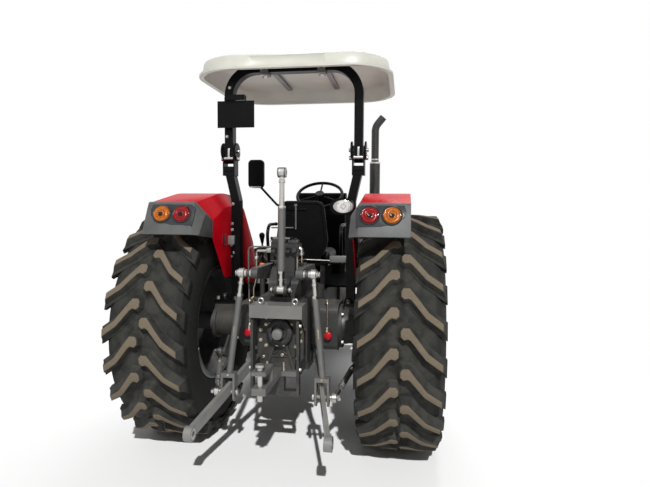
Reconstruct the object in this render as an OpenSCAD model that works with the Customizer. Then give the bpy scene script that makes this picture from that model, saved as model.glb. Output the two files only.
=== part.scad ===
// Farm tractor with an open platform, a folding roll hoop with a sun canopy and a three-point linkage.
// X points to the right, Y forward and Z up. The origin is on the ground under the middle of the outline.

/* [Wheels] */
// Distance between the rear and the front axle
wheelbase = 2250; // [2150:10:2400]
// Outer radius of a rear tyre, over its lugs
rear_r = 780; // [760:2:800]
// Section width of a rear tyre
rear_w = 525; // [500:1:535]
// Radius of the rear rim's bead seat
rear_rim_r = 381; // [370:1:390]
// Width of the rear rim
rear_rim_w = 406; // [390:2:410]
// Distance between the middles of the rear tyres
rear_track = 1516; // [1510:2:1600]
// Outer radius of a front tyre, over its lugs
front_r = 580; // [560:2:600]
// Section width of a front tyre
front_w = 315; // [300:1:325]
// Radius of the front rim's bead seat
front_rim_r = 305; // [295:1:315]
// Width of the front rim
front_rim_w = 280; // [265:1:285]
// Distance between the middles of the front tyres
front_track = 1600; // [1590:2:1660]
// Distance between the two kingpins
kingpin_track = 1280; // [1260:2:1290]
// Number of lugs on one side of a rear tyre
rear_lugs = 22; // [18:1:24]
// Height of a rear tyre's lugs
rear_lug_h = 50; // [35:1:60]
// Number of lugs on one side of a front tyre
front_lugs = 17; // [14:1:19]
// Height of a front tyre's lugs
front_lug_h = 40; // [28:1:46]

/* [Roll hoop and canopy] */
// Outer width of the hoop
hoop_w = 974; // [960:2:1000]
// Width of the hoop's tube across the tractor
hoop_tube_x = 60; // [54:1:62]
// Depth of the hoop's tube along the tractor
hoop_tube_y = 70; // [60:1:76]
// Height of the hoop's hinge pins above the rear axle
hinge_z = 1165; // [1140:5:1190]
// Height of the hoop's top bar above the hinge pins
hoop_rise = 618; // [600:2:640]
// Bend radius at the middle of the hoop's tube
hoop_bend = 190; // [160:5:220]
// Width of the canopy
canopy_w = 1366; // [1300:2:1420]
// Length of the canopy
canopy_l = 1150; // [1100:10:1200]
// Overhang of the canopy behind the rear axle
canopy_rear = 250; // [230:5:290]
// Height of the canopy's rim from its lip to its shoulder
canopy_rim = 105; // [95:1:120]
// Height of the canopy's crown above its shoulder
canopy_crown = 50; // [40:1:70]

/* [Fenders] */
// Distance from the middle of the tractor to a fender's inner panel
fender_x = 455; // [450:1:460]
// Width of a fender from its inner panel to its outer edge
fender_w = 355; // [330:1:380]
// Height of a fender's top above the rear axle
fender_z = 915; // [905:1:930]
// Thickness of fender, lamp housing and bonnet shells
shell_t = 8; // [6:0.5:10]
// Radius of a tail lamp
lamp_r = 57; // [50:1:62]

/* [Linkage] */
// Distance between the middles of the lower links' rear eyes
link_spread = 780; // [760:2:800]
// Radius of the bore in a lower link's rear eye
link_bore_r = 14.35; // [14.1:0.05:14.6]
// Width of a lower link's rear eye
link_eye_w = 45; // [43:0.5:47]
// Radius of the bore in the top link's free eye
top_bore_r = 12.85; // [12.7:0.05:13]
// Width of the top link's free eye
top_eye_w = 51; // [49:0.5:53]
// Length of the top link between its pins
top_link_l = 748; // [700:2:760]
// Running clearance of a pin in its bore
pin_gap = 0.3; // [0.2:0.05:0.4]

/* [Body] */
// Half of the bonnet's width at its rear end
bonnet_half = 300; // [280:2:306]
// Height of the bonnet's rear edge above the rear axle
bonnet_z = 870; // [850:2:880]
// Distance from the front axle to the front of the grille
nose_over = 700; // [660:5:750]
// Distance from the rear axle to the bonnet's rear edge
bonnet_y = 1352; // [1345:1:1365]
// Radius of the steering wheel at the middle of its rim
wheel_r = 205; // [190:1:215]
// Height of the platform's floor above the rear axle
floor_z = 220; // [215:1:230]
// Width of the seat
seat_w = 450; // [420:2:470]

/* [Hidden] */
$fn = 48;

// Places along the tractor, measured from the rear axle
link_y = -890;
rear_reach = -link_y + 42;
nose_y = wheelbase + nose_over;
axle_y = (rear_reach - nose_y) / 2;
front_z = front_r - rear_r;

// Points of the three-point linkage: y and z from the rear axle
shaft_yz = [-80, 385];
arm_end_yz = [-450, 410];
link_front_yz = [-150, -180];
link_rod_yz = [-510, -330];
link_rear_yz = [link_y, -440];
top_pin_yz = [-360, 295];
link_front_x = 197;
link_rod_x = 295;
link_rear_x = link_spread / 2;
rod_top_x = 228;
stabiliser_front_x = 484;
stabiliser_rear_x = 370;
link_pin_r = 16;
rod_pin_r = 12;
arm_pin_r = 14;
top_pin_r = 12.5;

// Castings
gear_half = 160;
cover_half = 110;
cover_y = -300;
pto_y = -370;
pto_z = 30;
gear_end = 1180;
engine_end = wheelbase - 250;
hanger_off = 222;
trunnion_half = 250;
engine_half = 190;
transfer_z = -290;
transfer_end = 440;
brake_end = 340;
trumpet_end = rear_track / 2 - rear_rim_w / 2 + 7;
foot_z = 150;
half_shaft_r = 45;

// Front axle
kp_x = kingpin_track / 2;
boss_r = 52;
boss_half = 75;
kingpin_r = 24;
yoke_t = 28;
arm_l = 165;
rod_drop = 30;
hub_x = kp_x + 118;

// Bonnet hinge, just inside its rear edge
bonnet_hinge = [bonnet_y + 10, bonnet_z - 22];
bonnet_hinge_x = 150;

// Steering column
column_tilt = 35;
wheel_yz = [1120, 947];

// A round bar from point a to point b
module bar(a, b, r) {
    d = b - a;
    translate(a) rotate([0, acos(d[2] / norm(d)), atan2(d[1], d[0])]) cylinder(h = norm(d), r = r);
}

// A flat bar from point a to point b, t thick to the side and h high
module flat_bar(a, b, t, h) {
    d = b - a;
    translate(a) rotate([0, acos(d[2] / norm(d)), atan2(d[1], d[0])])
        translate([-h / 2, -t / 2, 0]) cube([h, t, norm(d)]);
}

// A cylinder along X from x0 to x1 at the place yz
module x_cyl(x0, x1, yz, r) {
    translate([x0, yz[0], yz[1]]) rotate([0, 90, 0]) cylinder(h = x1 - x0, r = r);
}

// A cylinder along Y from y0 to y1
module y_cyl(y0, y1, x, z, r) {
    translate([x, y0, z]) rotate([-90, 0, 0]) cylinder(h = y1 - y0, r = r);
}

// A plate from x0 to x1 with an outline in Y and Z
module side_plate(x0, x1, outline) {
    translate([x0, 0, 0]) rotate([90, 0, 90]) linear_extrude(x1 - x0) polygon(outline);
}

// A plate from y0 to y1 with an outline in X and Z
module cross_plate(y0, y1, outline) {
    translate([0, y1, 0]) rotate([90, 0, 0]) linear_extrude(y1 - y0) polygon(outline);
}

// A box between two corners
module box(a, b) {
    translate(a) cube(b - a);
}

// A shape and its mirror image on the other side of the tractor
module both() {
    children();
    mirror([1, 0, 0]) children();
}

// The frame of the tractor: the origin of the modules below is the middle of the rear axle
module place() {
    translate([0, axle_y, rear_r]) children();
}

// A solid through loops of points, which turn counter-clockwise about the way the loops advance.
// The two halves of a loop lie side by side in a thin wall, and its ends are then closed across the wall.
module skin(loops, thin = false) {
    n = len(loops[0]);
    m = len(loops);
    sides = [for (i = [0 : m - 2], j = [0 : n - 1]) let (k = (j + 1) % n)
        each [[i * n + j, (i + 1) * n + j, (i + 1) * n + k], [i * n + j, (i + 1) * n + k, i * n + k]]];
    whole = [[for (j = [0 : n - 1]) j]];
    across = [for (j = [0 : n / 2 - 2]) each [[j, j + 1, n - 2 - j], [j, n - 2 - j, n - 1 - j]]];
    first = thin ? across : whole;
    last = [for (f = first) [for (k = [len(f) - 1 : -1 : 0]) f[k] + (m - 1) * n]];
    polyhedron([for (l = loops) each l], concat(sides, first, last));
}

// Points on an arc about c
function arc(c, r, a0, a1, n) = [for (i = [0 : n]) let (a = a0 + (a1 - a0) * i / n) c + r * [cos(a), sin(a)]];

// The unit vector from a to b
function way(a, b) = (b - a) / norm(b - a);

// A corner at b between a and c, rounded to radius r by n steps
function corner(a, b, c, r, n) =
    let (u = way(b, a), v = way(b, c), half = acos(u * v) / 2, m = (u + v) / norm(u + v),
        o = b + m * r / sin(half), p = b + u * r / tan(half), q = b + v * r / tan(half),
        a0 = atan2(p[1] - o[1], p[0] - o[0]), raw = atan2(q[1] - o[1], q[0] - o[0]) - a0,
        turn = raw > 180 ? raw - 360 : raw < -180 ? raw + 360 : raw)
    arc(o, r, a0, a0 + turn, n);

// The points of an open path moved d to its right-hand side
function right_of(p, d) = [for (i = [0 : len(p) - 1])
    let (a = i > 0 ? way(p[i - 1], p[i]) : way(p[0], p[1]),
        b = i < len(p) - 1 ? way(p[i], p[i + 1]) : a,
        na = [a[1], -a[0]], nb = [b[1], -b[0]], m = na + nb)
    p[i] + m * d / (m * na)];

// A rounded rectangle of half sizes hx and hy, counter-clockwise
function rounded(hx, hy, r, n) = concat(
    arc([hx - r, hy - r], r, 0, 90, n), arc([r - hx, hy - r], r, 90, 180, n),
    arc([r - hx, r - hy], r, 180, 270, n), arc([hx - r, r - hy], r, 270, 360, n));

// A ring of n points about X at place x and radius r, turned by a
function ring(n, x, r, a) = [for (i = [0 : n - 1]) let (b = a + 360 * i / n) [x, -r * cos(b), -r * sin(b)]];

// A ring on one side of the tread, with four points for each lug: the edges of its face at radius top and the feet
// of its flanks at radius low. The face is mid round from the lug's head and face wide, on a tyre of radius r.
function lug_ring(lugs, side, x, top, low, mid, face, flank, r) =
    let (pitch = 2 * PI * r / lugs, spots = [-face / 2, face / 2, face / 2 + flank, pitch - face / 2 - flank])
    [for (i = [0 : 4 * lugs - 1])
        let (j = side > 0 ? i : i + 2, k = j % 4, reach = k < 2 ? top : low,
            round = mid + floor(j / 4) * pitch - (side > 0 ? 0 : pitch / 2) + spots[k], a = round / r * 180 / PI)
        [side * x, -reach * cos(a), -reach * sin(a)]];

// The triangles between two rings that start at numbers p and q, where a tread ring has twice as many points
function between(p, n, q, m) =
    n == m ? [for (i = [0 : n - 1]) let (k = (i + 1) % n) each [[p + i, q + i, q + k], [p + i, q + k, p + k]]] :
    n < m ? [for (i = [0 : n - 1]) let (k = (i + 1) % n, u = q + 2 * i, v = u + 1, w = q + (2 * i + 2) % m)
        each [[p + i, u, v], [p + i, v, p + k], [p + k, v, w]]] :
    [for (i = [0 : m - 1]) let (k = (i + 1) % m, u = p + 2 * i, v = u + 1, w = p + (2 * i + 2) % n)
        each [[u, q + i, v], [v, q + i, q + k], [v, q + k, w]]];

// A lug's line over one half of the tread: place across and round, as shares of the tyre's width
lug_head = [0.043, 0];
lug_middle = [0.257, 0.171];
lug_end = [0.48, 0.353];
lug_face = 0.11;
lug_flank = 0.033;
shoulder_drop = 0.06;

// A tyre about X with staggered lugs that point up at its rear. A face of a lug lies at its lowest point.
// The walls pass through the places across and radii in the list walls, from the bead outwards.
module tyre(r, w, seat_r, rim_w, lugs, lug_h, walls) {
    n = 2 * lugs;
    low = r - lug_h;
    turn = (lug_end[1] - lug_face / 2) * w / r * 180 / PI;
    bead = [rim_w / 2 - 16, (seat_r + pin_gap) / cos(180 / n)];
    wall = concat([bead], walls);
    side = function(s) [
        lug_ring(lugs, s, lug_head[0] * w, r, low, lug_head[1] * w, lug_face * w, lug_flank * w, r),
        lug_ring(lugs, s, lug_middle[0] * w, r - 2, low - 2, lug_middle[1] * w, lug_face * w, lug_flank * w, r),
        lug_ring(lugs, s, lug_end[0] * w, r - shoulder_drop / 2 * w, low - shoulder_drop * w, lug_end[1] * w,
            lug_face * w, lug_flank * w, r)];
    left = side(-1);
    rings = concat([for (p = wall) ring(n, -p[0], p[1], turn)], [left[2], left[1], left[0]],
        [ring(4 * lugs, 0, low, -45 / lugs)], side(1),
        [for (i = [len(wall) - 1 : -1 : 0]) ring(n, wall[i][0], wall[i][1], turn)]);
    first = [for (i = 0, sum = 0; i < len(rings); sum = sum + len(rings[i]), i = i + 1) sum];
    lead = (lug_head[1] + lug_face / 2) * w / r * 180 / PI;
    down = 90 - lead - floor((90 - lead) / (360 / lugs)) * 360 / lugs;
    rotate([down, 0, 0]) polyhedron([for (l = rings) each l], [for (c = [0 : len(rings) - 1])
        let (d = (c + 1) % len(rings)) each between(first[c], len(rings[c]), first[d], len(rings[d]))]);
}

// A rim about X with a drop centre and a dished disc, which bolts on the hub at hub_at
module rim(seat_r, w, disc_at, hub_at, hub_r) {
    wall = 9;
    flange_r = seat_r + 21;
    drop_r = seat_r - 48;
    h = w / 2;
    outside = [[flange_r, -h], [flange_r, 8 - h], [seat_r, 13 - h], [seat_r - 4, 60 - h], [drop_r, 88 - h],
        [drop_r, h - 88], [seat_r - 4, h - 60], [seat_r, h - 13], [flange_r, h - 8], [flange_r, h]];
    inside = [[seat_r - wall, h], [seat_r - 4 - wall, h - 56], [drop_r - wall, h - 84],
        [drop_r - wall, 84 - h], [seat_r - 4 - wall, 56 - h], [seat_r - wall, -h]];
    disc = [[drop_r - 4, disc_at], [drop_r - 4, disc_at + 14], [drop_r - 60, disc_at + 14],
        [hub_r + 70, hub_at + 14], [0, hub_at + 14], [0, hub_at], [hub_r + 66, hub_at], [drop_r - 64, disc_at]];
    rotate([0, 90, 0]) {
        rotate_extrude() polygon(concat(outside, inside));
        rotate_extrude() polygon(disc);
    }
}

module transmission() {
    cover_outline = concat(
        corner([-150, 140], [-150, -270], [150, -270], 70, 6),
        corner([-150, -270], [150, -270], [150, 140], 70, 6),
        corner([150, -270], [150, 140], [-150, 140], 60, 6),
        corner([150, 140], [-150, 140], [-150, -270], 60, 6));
    color("#3c3f42") place() {
        side_plate(-gear_half, gear_half, [[cover_y, -180], [cover_y + 60, -250], [400, -250], [450, -200],
            [gear_end - 30, -190], [gear_end - 30, 170], [430, 180], [390, 240], [cover_y, 240]]);
        side_plate(-gear_half - 22, gear_half + 22, [[392, -262], [424, -262], [424, 196], [392, 196]]);
        side_plate(-engine_half, engine_half, [[gear_end - 30, -215], [gear_end, -215], [gear_end, 196],
            [gear_end - 30, 196]]);
        cross_plate(pto_y, cover_y, cover_outline);
        y_cyl(transfer_end - 130, transfer_end, 0, transfer_z, 52);
        y_cyl(pto_y - 30, pto_y, 0, pto_z, 78);
        translate([0, pto_y - 90, pto_z]) rotate([-90, 0, 0]) cylinder(h = 61, r = 32, $fn = 6);
        for (s = [-1, 1]) flat_bar([s * 30, pto_y - 8, pto_z - 60], [s * 100, pto_y - 8, -230], 16, 18);
        both() {
            x_cyl(gear_half - 1, link_front_x - 19.5, link_front_yz, 46);
            x_cyl(gear_half, link_front_x + 32, link_front_yz, link_pin_r);
            x_cyl(link_front_x + 23, link_front_x + 33, link_front_yz, 22);
        }
    }
}

module lift_cover() {
    cheek_in = 24;
    color("#3c3f42") place() difference() {
        union() {
            side_plate(-cover_half, cover_half, concat([[cover_y + 40, 240]],
                corner([cover_y + 40, 240], [cover_y + 40, 330], [-150, 430], 40, 4),
                [[-150, 430], [60, 410]],
                corner([60, 410], [230, 330], [230, 240], 40, 4), [[230, 240]]));
            x_cyl(-cover_half - 2, cover_half + 2, shaft_yz, 62);
            for (s = [-1, 1]) mirror([s < 0 ? 1 : 0, 0, 0])
                side_plate(cheek_in, cheek_in + 18, concat([[cover_y + 60, 242], [cover_y - 40, 246]],
                    arc(top_pin_yz, 34, 250, 60, 10), [[cover_y + 60, 370]]));
            x_cyl(-cheek_in - 30, cheek_in + 30, top_pin_yz, top_pin_r);
        }
        x_cyl(-cover_half - 10, cover_half + 10, shaft_yz, 32 + pin_gap);
    }
}

module axle_housings() {
    color("#45484b") place() both() difference() {
        union() {
            side_plate(gear_half, brake_end, concat([[-150, -110]],
                corner([-150, -110], [-150, 165], [150, 165], 50, 5),
                corner([-150, 165], [150, 165], [150, -110], 50, 5), [[150, -110], [100, -150], [-90, -150]]));
            x_cyl(brake_end - 1, brake_end + 22, [0, 0], 150);
            translate([brake_end, 0, 0]) rotate([0, 90, 0])
                cylinder(h = trumpet_end - brake_end, r1 = 132, r2 = 100);
            x_cyl(trumpet_end - 24, trumpet_end, [0, 0], 118);
            box([382, -72, 0], [trumpet_end - 10, 72, foot_z]);
            side_plate(438, 454, concat([[70, -60]], arc(link_front_yz, 34, 330, 130, 10), [[-60, -60]]));
            x_cyl(453, stabiliser_front_x - 20, link_front_yz, 16);
            x_cyl(453, stabiliser_front_x + 24, link_front_yz, rod_pin_r);
            x_cyl(stabiliser_front_x + 16, stabiliser_front_x + 25, link_front_yz, 20);
            y_cyl(-172, -149, 278, -35, 25);
        }
        x_cyl(trumpet_end - 60, trumpet_end + 1, [0, 0], half_shaft_r + pin_gap);
    }
}

module engine() {
    color("#4a4c4e") place() {
        side_plate(-engine_half, engine_half, [[gear_end, -215], [gear_end + 40, -215], [gear_end + 40, 200],
            [gear_end, 200]]);
        side_plate(-engine_half + 25, engine_half - 25, [[gear_end + 40, -120], [engine_end, -120], [engine_end, 260],
            [bonnet_y - 10, 260], [bonnet_y - 10, 196], [gear_end + 40, 196]]);
        side_plate(-140, 140, [[gear_end + 40, -160], [gear_end + 420, -160], [gear_end + 500, -120],
            [gear_end + 40, -120]]);
        box([-130, bonnet_y, 260], [130, engine_end - 60, 420]);
        box([-95, bonnet_y + 30, 420], [95, engine_end - 100, 500]);
        y_cyl(engine_end, engine_end + 60, 0, 160, 85);
        y_cyl(engine_end, engine_end + 90, 0, 290, 45);
        y_cyl(engine_end + 90, engine_end + 110, 0, 290, 190);
    }
}

module front_support() {
    color("#3c3f42") place() difference() {
        union() {
            side_plate(-170, 170, [[engine_end, -90], [wheelbase + 480, -90], [wheelbase + 540, -40],
                [wheelbase + 540, 60], [engine_end, 60]]);
            for (s = [-1, 1]) translate([0, wheelbase + s * hanger_off, 0])
                box([-85, -20, front_z - 75], [85, 20, -89]);
            box([-120, wheelbase + 540, -40], [120, wheelbase + 600, 50]);
            box([-120, wheelbase + 600, -80], [120, wheelbase + 625, 55]);
        }
        y_cyl(wheelbase - 300, wheelbase + 300, 0, front_z, 45 + pin_gap);
    }
}

module front_axle() {
    rod_yz = [wheelbase - arm_l, front_z - rod_drop];
    color("#45484b") place() difference() {
        union() {
            x_cyl(-kp_x + 30, kp_x - 30, [wheelbase, front_z], 62);
            x_cyl(-90, 90, [wheelbase, front_z], 100);
            y_cyl(wheelbase - trunnion_half, wheelbase + trunnion_half, 0, front_z, 45);
            both() translate([kp_x, wheelbase, front_z - boss_half]) cylinder(h = 2 * boss_half, r = boss_r);
            x_cyl(-200, 200, rod_yz, 32);
            both() box([110, wheelbase - arm_l, front_z - rod_drop - 14], [150, wheelbase - 40, front_z - rod_drop + 14]);
        }
        both() translate([kp_x, wheelbase, front_z - 100]) cylinder(h = 200, r = kingpin_r + pin_gap);
        x_cyl(-260, 260, rod_yz, 15 + pin_gap);
    }
}

module drive_shaft() {
    rear_end = transfer_end + 40;
    front_end = wheelbase - trunnion_half - 40;
    color("#3a3a3a") place() {
        y_cyl(transfer_end, rear_end, 0, transfer_z, 30);
        bar([0, rear_end - 8, transfer_z], [0, front_end + 8, front_z], 25);
        y_cyl(front_end, wheelbase - trunnion_half, 0, front_z, 30);
    }
}

module radiator() {
    color("#3a3d40") place() {
        box([-240, wheelbase + 250, 60], [240, wheelbase + 330, 560]);
        y_cyl(wheelbase + 235, wheelbase + 251, 0, 290, 215);
    }
}

module platform() {
    color("#2e3033") place() {
        box([-fender_x, 425, floor_z - 15], [fender_x, 1322, floor_z]);
        both() {
            box([60, 470, 180], [130, 540, floor_z - 15]);
            box([60, 1050, 172], [130, 1120, floor_z - 15]);
            box([fender_x, 930, floor_z - 15], [fender_x + 130, 1180, floor_z]);
            for (y = [936, 1162]) flat_bar([fender_x + 40, y + 6, floor_z - 10], [fender_x + 40, y + 6, -400], 12, 50);
            for (z = [-120, -400]) box([fender_x + 5, 930, z], [fender_x + 135, 1180, z + 14]);
        }
    }
}

module fuel_tank() {
    color("#26282a") place()
        translate([-320, 0, 0]) side_plate(-120, 120, concat(
            corner([490, 205], [490, -170], [1010, -170], 50, 4),
            corner([490, -170], [1010, -170], [1010, 205], 50, 4), [[1010, floor_z - 15], [490, floor_z - 15]]));
}

// Lines of the fender in Y and Z: seam with the lamp housing, top line and lower edge of its chamfer
seam_top = [-480, fender_z - 65];
seam_side = [-352, fender_z - 180];
seam_low = [-352, 622];
housing_low = [-612, 654];
housing_top = [-515, fender_z - 62];
chamfer_x = 55;
chamfer_d = 95;
seam_gap = [-0.4, 0];
function fender_top() = concat([seam_top],
    corner(seam_top, [-60, fender_z + 10], [340, fender_z - 10], 900, 5),
    corner([-60, fender_z + 10], [340, fender_z - 10], [610, 600], 150, 5), [[610, 600]]);
function fender_side() = let (p = right_of(fender_top(), chamfer_d))
    [for (i = [0 : len(p) - 1]) i == 0 ? seam_side : p[i]];
function housing_rear() = concat([housing_low], corner(housing_low, housing_top, seam_top, 30, 4),
    [seam_top + seam_gap]);
function housing_side() = let (low = housing_low + [22, -4], top = housing_top + [45, -75])
    concat([low], corner(low, top, seam_side, 30, 4), [seam_side + seam_gap]);

// The point at share t of the way through a list of points
function along(p, t) = let (k = min(floor(t * (len(p) - 1)), len(p) - 2), f = t * (len(p) - 1) - k)
    p[k] * (1 - f) + p[k + 1] * f;

// A shell along two rails in Y and Z, the top and the lower edge of the chamfer beside it,
// with a side panel that reaches down to the points low
module fender_shell(top, side, low) {
    n = len(top) - 1;
    top_in = right_of(top, shell_t);
    side_in = right_of(side, shell_t / 2);
    skin([for (i = [0 : n]) let (foot = along(low, i / n))
        [for (p = [[fender_w, top_in[i]], [chamfer_x + 4, top_in[i]], [shell_t, side_in[i]], [shell_t, foot],
            [0, foot], [0, side[i]], [chamfer_x, top[i]], [fender_w, top[i]]])
            [fender_x + p[0], p[1][0], p[1][1]]]], thin = true);
}

module fender() {
    color("#c8102e") place() fender_shell(fender_top(), fender_side(), [seam_low, [-130, 335], [0, 322],
        [200, 300], [425, floor_z - 15], [690, floor_z - 15]]);
}

module fender_right() {
    fender();
}

module fender_left() {
    mirror([1, 0, 0]) fender();
}

module lamp_housings() {
    color("#6d7780") place() both() fender_shell(housing_rear(), housing_side(),
        [housing_low + [26, -8], seam_low + seam_gap]);
}

// A round lamp on the leaning rear face of a lamp housing
module tail_lamp(x) {
    up = housing_top - housing_low;
    translate([x, housing_low[0], housing_low[1]]) rotate([atan2(up[1], up[0]), 0, 0])
        translate([0, 134, 0]) cylinder(h = 28, r = lamp_r);
}

module lamps_amber() {
    color("#d98a2b") place() both() tail_lamp(702);
}

module lamps_red() {
    color("#a01422") place() both() tail_lamp(574);
}

// Places of the hoop's legs and posts
hoop_x = hoop_w / 2 - hoop_tube_x / 2;
post_x = 410;
post_knee = 870;
post_top = hinge_z - 50;

module rops_posts() {
    cheek_t = 9;
    cheek_in = hoop_tube_x / 2 + 4;
    color("#1d1e20") place() both() {
        box([384, -86, foot_z], [trumpet_end - 14, 86, foot_z + 22]);
        cross_plate(-38, 38, [[post_x - 30, foot_z + 21], [post_x + 30, foot_z + 21], [post_x + 30, post_knee],
            [hoop_x + 30, post_top - 40], [hoop_x - 30, post_top - 40], [post_x - 30, post_knee]]);
        for (s = [-1, 1]) side_plate(hoop_x + (s < 0 ? -cheek_in - cheek_t : cheek_in),
            hoop_x + (s < 0 ? -cheek_in : cheek_in + cheek_t),
            concat([[-42, post_top - 70], [42, post_top - 70]], arc([0, hinge_z + 42], 42, 0, 180, 8)));
        box([hoop_x - cheek_in - 1, -42, post_top - 70], [hoop_x + cheek_in + 1, 42, post_top - 8]);
        x_cyl(hoop_x - cheek_in - cheek_t - 14, hoop_x + cheek_in + cheek_t + 14, [0, hinge_z], 11);
        for (s = [-1, 1]) x_cyl(hoop_x + s * (cheek_in + cheek_t + 9) - 9, hoop_x + s * (cheek_in + cheek_t + 9) + 9,
            [0, hinge_z + 52], 9);
    }
}

module rops_hoop() {
    bar_z = hinge_z + hoop_rise;
    hx = hoop_tube_x / 2;
    hy = hoop_tube_y / 2;
    color("#1d1e20") place() difference() {
        union() {
            both() {
                box([hoop_x - hx, -hy, hinge_z], [hoop_x + hx, hy, bar_z - hoop_bend]);
                x_cyl(hoop_x - hx, hoop_x + hx, [0, hinge_z], hy);
                translate([hoop_x - hoop_bend, 0, bar_z - hoop_bend]) rotate([90, 0, 0]) rotate_extrude(angle = 90)
                    translate([hoop_bend - hx, -hy]) square([2 * hx, 2 * hy]);
            }
            box([hoop_bend - hoop_x - 1, -hy, bar_z - hx], [hoop_x - hoop_bend + 1, hy, bar_z + hx]);
        }
        x_cyl(-hoop_w, hoop_w, [0, hinge_z], 11 + pin_gap);
    }
}

// Canopy heights: lip, shoulder and flat underside on the rails
canopy_lip = hinge_z + 560;
canopy_under = hinge_z + hoop_rise + hoop_tube_x / 2 + 25;

// One ring of the canopy: half sizes less an inset, at height z
function canopy_ring(inset, z) = [for (p = rounded(canopy_w / 2 - inset, canopy_l / 2 - inset, max(230 - inset, 40), 7))
    [p[0], p[1] + canopy_l / 2 - canopy_rear, z]];

module canopy() {
    t = 12;
    shoulder = canopy_lip + canopy_rim;
    top = shoulder + canopy_crown;
    color("#d5d6d2") place() skin([
        canopy_ring(330, canopy_under), canopy_ring(75, canopy_under), canopy_ring(40 + t, canopy_under - 30),
        canopy_ring(22 + t, canopy_lip), canopy_ring(0, canopy_lip), canopy_ring(0, canopy_lip + 14),
        canopy_ring(20, canopy_lip + 16), canopy_ring(36, shoulder - 14), canopy_ring(56, shoulder + 4),
        canopy_ring(150, top - 20), canopy_ring(330, top)]);
}

module canopy_rails() {
    under = hinge_z + hoop_rise + hoop_tube_x / 2;
    hy = hoop_tube_y / 2;
    color("#8b8f92") place() both() {
        box([180, -canopy_rear + 95, under], [220, canopy_l - canopy_rear - 130, canopy_under]);
        box([172, -hy - 10, under - hoop_tube_x - 12], [228, -hy, canopy_under - 3]);
        box([172, hy, under - hoop_tube_x - 12], [228, hy + 10, canopy_under - 3]);
        box([172, -hy - 10, under - hoop_tube_x - 12], [228, hy + 10, under - hoop_tube_x]);
    }
}

module number_plate() {
    back = -hoop_tube_y / 2;
    color("#202124") place() {
        translate([-hoop_x, back, hinge_z]) {
            box([-61, -56, 205], [201, -50, 387]);
            box([-23, -50, 225], [23, 0, 365]);
            box([7, -75, 390], [137, -30, 425]);
            box([-13, -50, 365], [27, 0, 415]);
        }
    }
}

module seat_base() {
    color("#232527") place() {
        box([-120, 450, floor_z], [120, 700, 385]);
        box([-seat_w / 2 + 20, 300, 385], [seat_w / 2 - 20, 790, 405]);
    }
}

module seat_cushion() {
    color("#1b1c1d") place() side_plate(-seat_w / 2, seat_w / 2, concat([[386, 405]],
        corner([386, 405], [386, 490], [810, 500], 20, 4), corner([386, 490], [810, 500], [810, 405], 35, 4), [[810, 405]]));
}

module seat_back() {
    outline = [for (p = rounded(204, 222.5, 90, 7)) [p[0], p[1] + 627.5]];
    color("#1b1c1d") place() translate([0, 385, 0]) rotate([90, 0, 0]) linear_extrude(85) polygon(outline);
}

module dash() {
    dir = [0, sin(column_tilt), -cos(column_tilt)];
    hub = [0, wheel_yz[0], wheel_yz[1]];
    color("#222426") place() {
        side_plate(-230, 230, concat([[1322, floor_z]], corner([1322, floor_z], [1322, 960], [1230, 975], 30, 4),
            corner([1322, 960], [1230, 975], [1150, 760], 30, 4), [[1150, 760], [1190, floor_z]]));
        for (x = [-1, 1] * bonnet_hinge_x) {
            side_plate(x - 10, x + 10, [for (p = concat([[-45, -120], [-45, -80], [-11, -45]],
                arc([0, 0], 11, 180, 0, 8), [[11, -60], [-20, -120]])) p + bonnet_hinge]);
            x_cyl(x - 24, x + 24, bonnet_hinge, 8);
        }
        bar(hub + dir * 20.5, hub + dir * 230, 27);
        bar(hub - dir * 10, hub + dir * 40, 12);
    }
}

module steering_wheel() {
    color("#18191a") place() translate([0, wheel_yz[0], wheel_yz[1]]) rotate([column_tilt, 0, 0]) difference() {
        union() {
            rotate_extrude() translate([wheel_r, 0]) circle(r = 14);
            translate([0, 0, -20]) cylinder(h = 42, r = 40);
            for (a = [90, 210, 330]) bar([30 * cos(a), 30 * sin(a), -4], [wheel_r * cos(a), wheel_r * sin(a), 0], 8);
        }
        translate([0, 0, -30]) cylinder(h = 42, r = 12 + pin_gap);
    }
}

module levers() {
    color("#1b1c1d") place() {
        box([-395, 520, floor_z], [-345, 580, floor_z + 30]);
        bar([-370, 545, floor_z + 20], [-370, 500, 600], 8);
        translate([-370, 500, 600]) sphere(r = 24);
    }
}

module seat_rails() {
    color("#17181a") place() both() {
        bar([290, 420, floor_z + 206], [290, 350, 690], 13);
        bar([290, 350, 690], [290, 640, 690], 13);
        translate([290, 350, 690]) sphere(r = 15);
        box([seat_w / 2 - 20, 400, 388], [300, 440, 402]);
        bar([290, 420, 395], [290, 420, floor_z + 206], 13);
        translate([290, 420, floor_z + 206]) sphere(r = 15);
    }
}

module exhaust() {
    at = [485, 1400];
    low = 135;
    color("#56504a") place() {
        bar([engine_half - 25, at[1], low], [at[0], at[1], low], 33);
        translate([at[0], at[1], low]) sphere(r = 36);
        bar([at[0], at[1], low], [at[0], at[1], 420], 33);
        translate([at[0], at[1], 400]) cylinder(h = 870, r = 49);
        translate([at[0], at[1], 1270]) cylinder(h = 330, r = 36);
        translate([at[0], at[1], 1600]) sphere(r = 38);
        bar([at[0], at[1], 1600], [at[0] + 60, at[1], 1680], 36);
    }
}

module mirror_arm() {
    color("#141516") place() {
        box([-705, 1185, 1015], [-552, 1240, 1282]);
        bar([-230, 1212, 850], [-420, 1212, 850], 11);
        translate([-420, 1212, 850]) sphere(r = 13);
        bar([-420, 1212, 850], [-600, 1212, 1040], 11);
    }
}

module work_lamp() {
    color("#2a2c2e") place() {
        for (s = [-1, 1]) y_cyl(-238, -178, 372 + s * 26, 830, 52);
        box([346, -238, 778], [398, -178, 882]);
        y_cyl(-178, -38, 392, 830, 10);
    }
}

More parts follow.
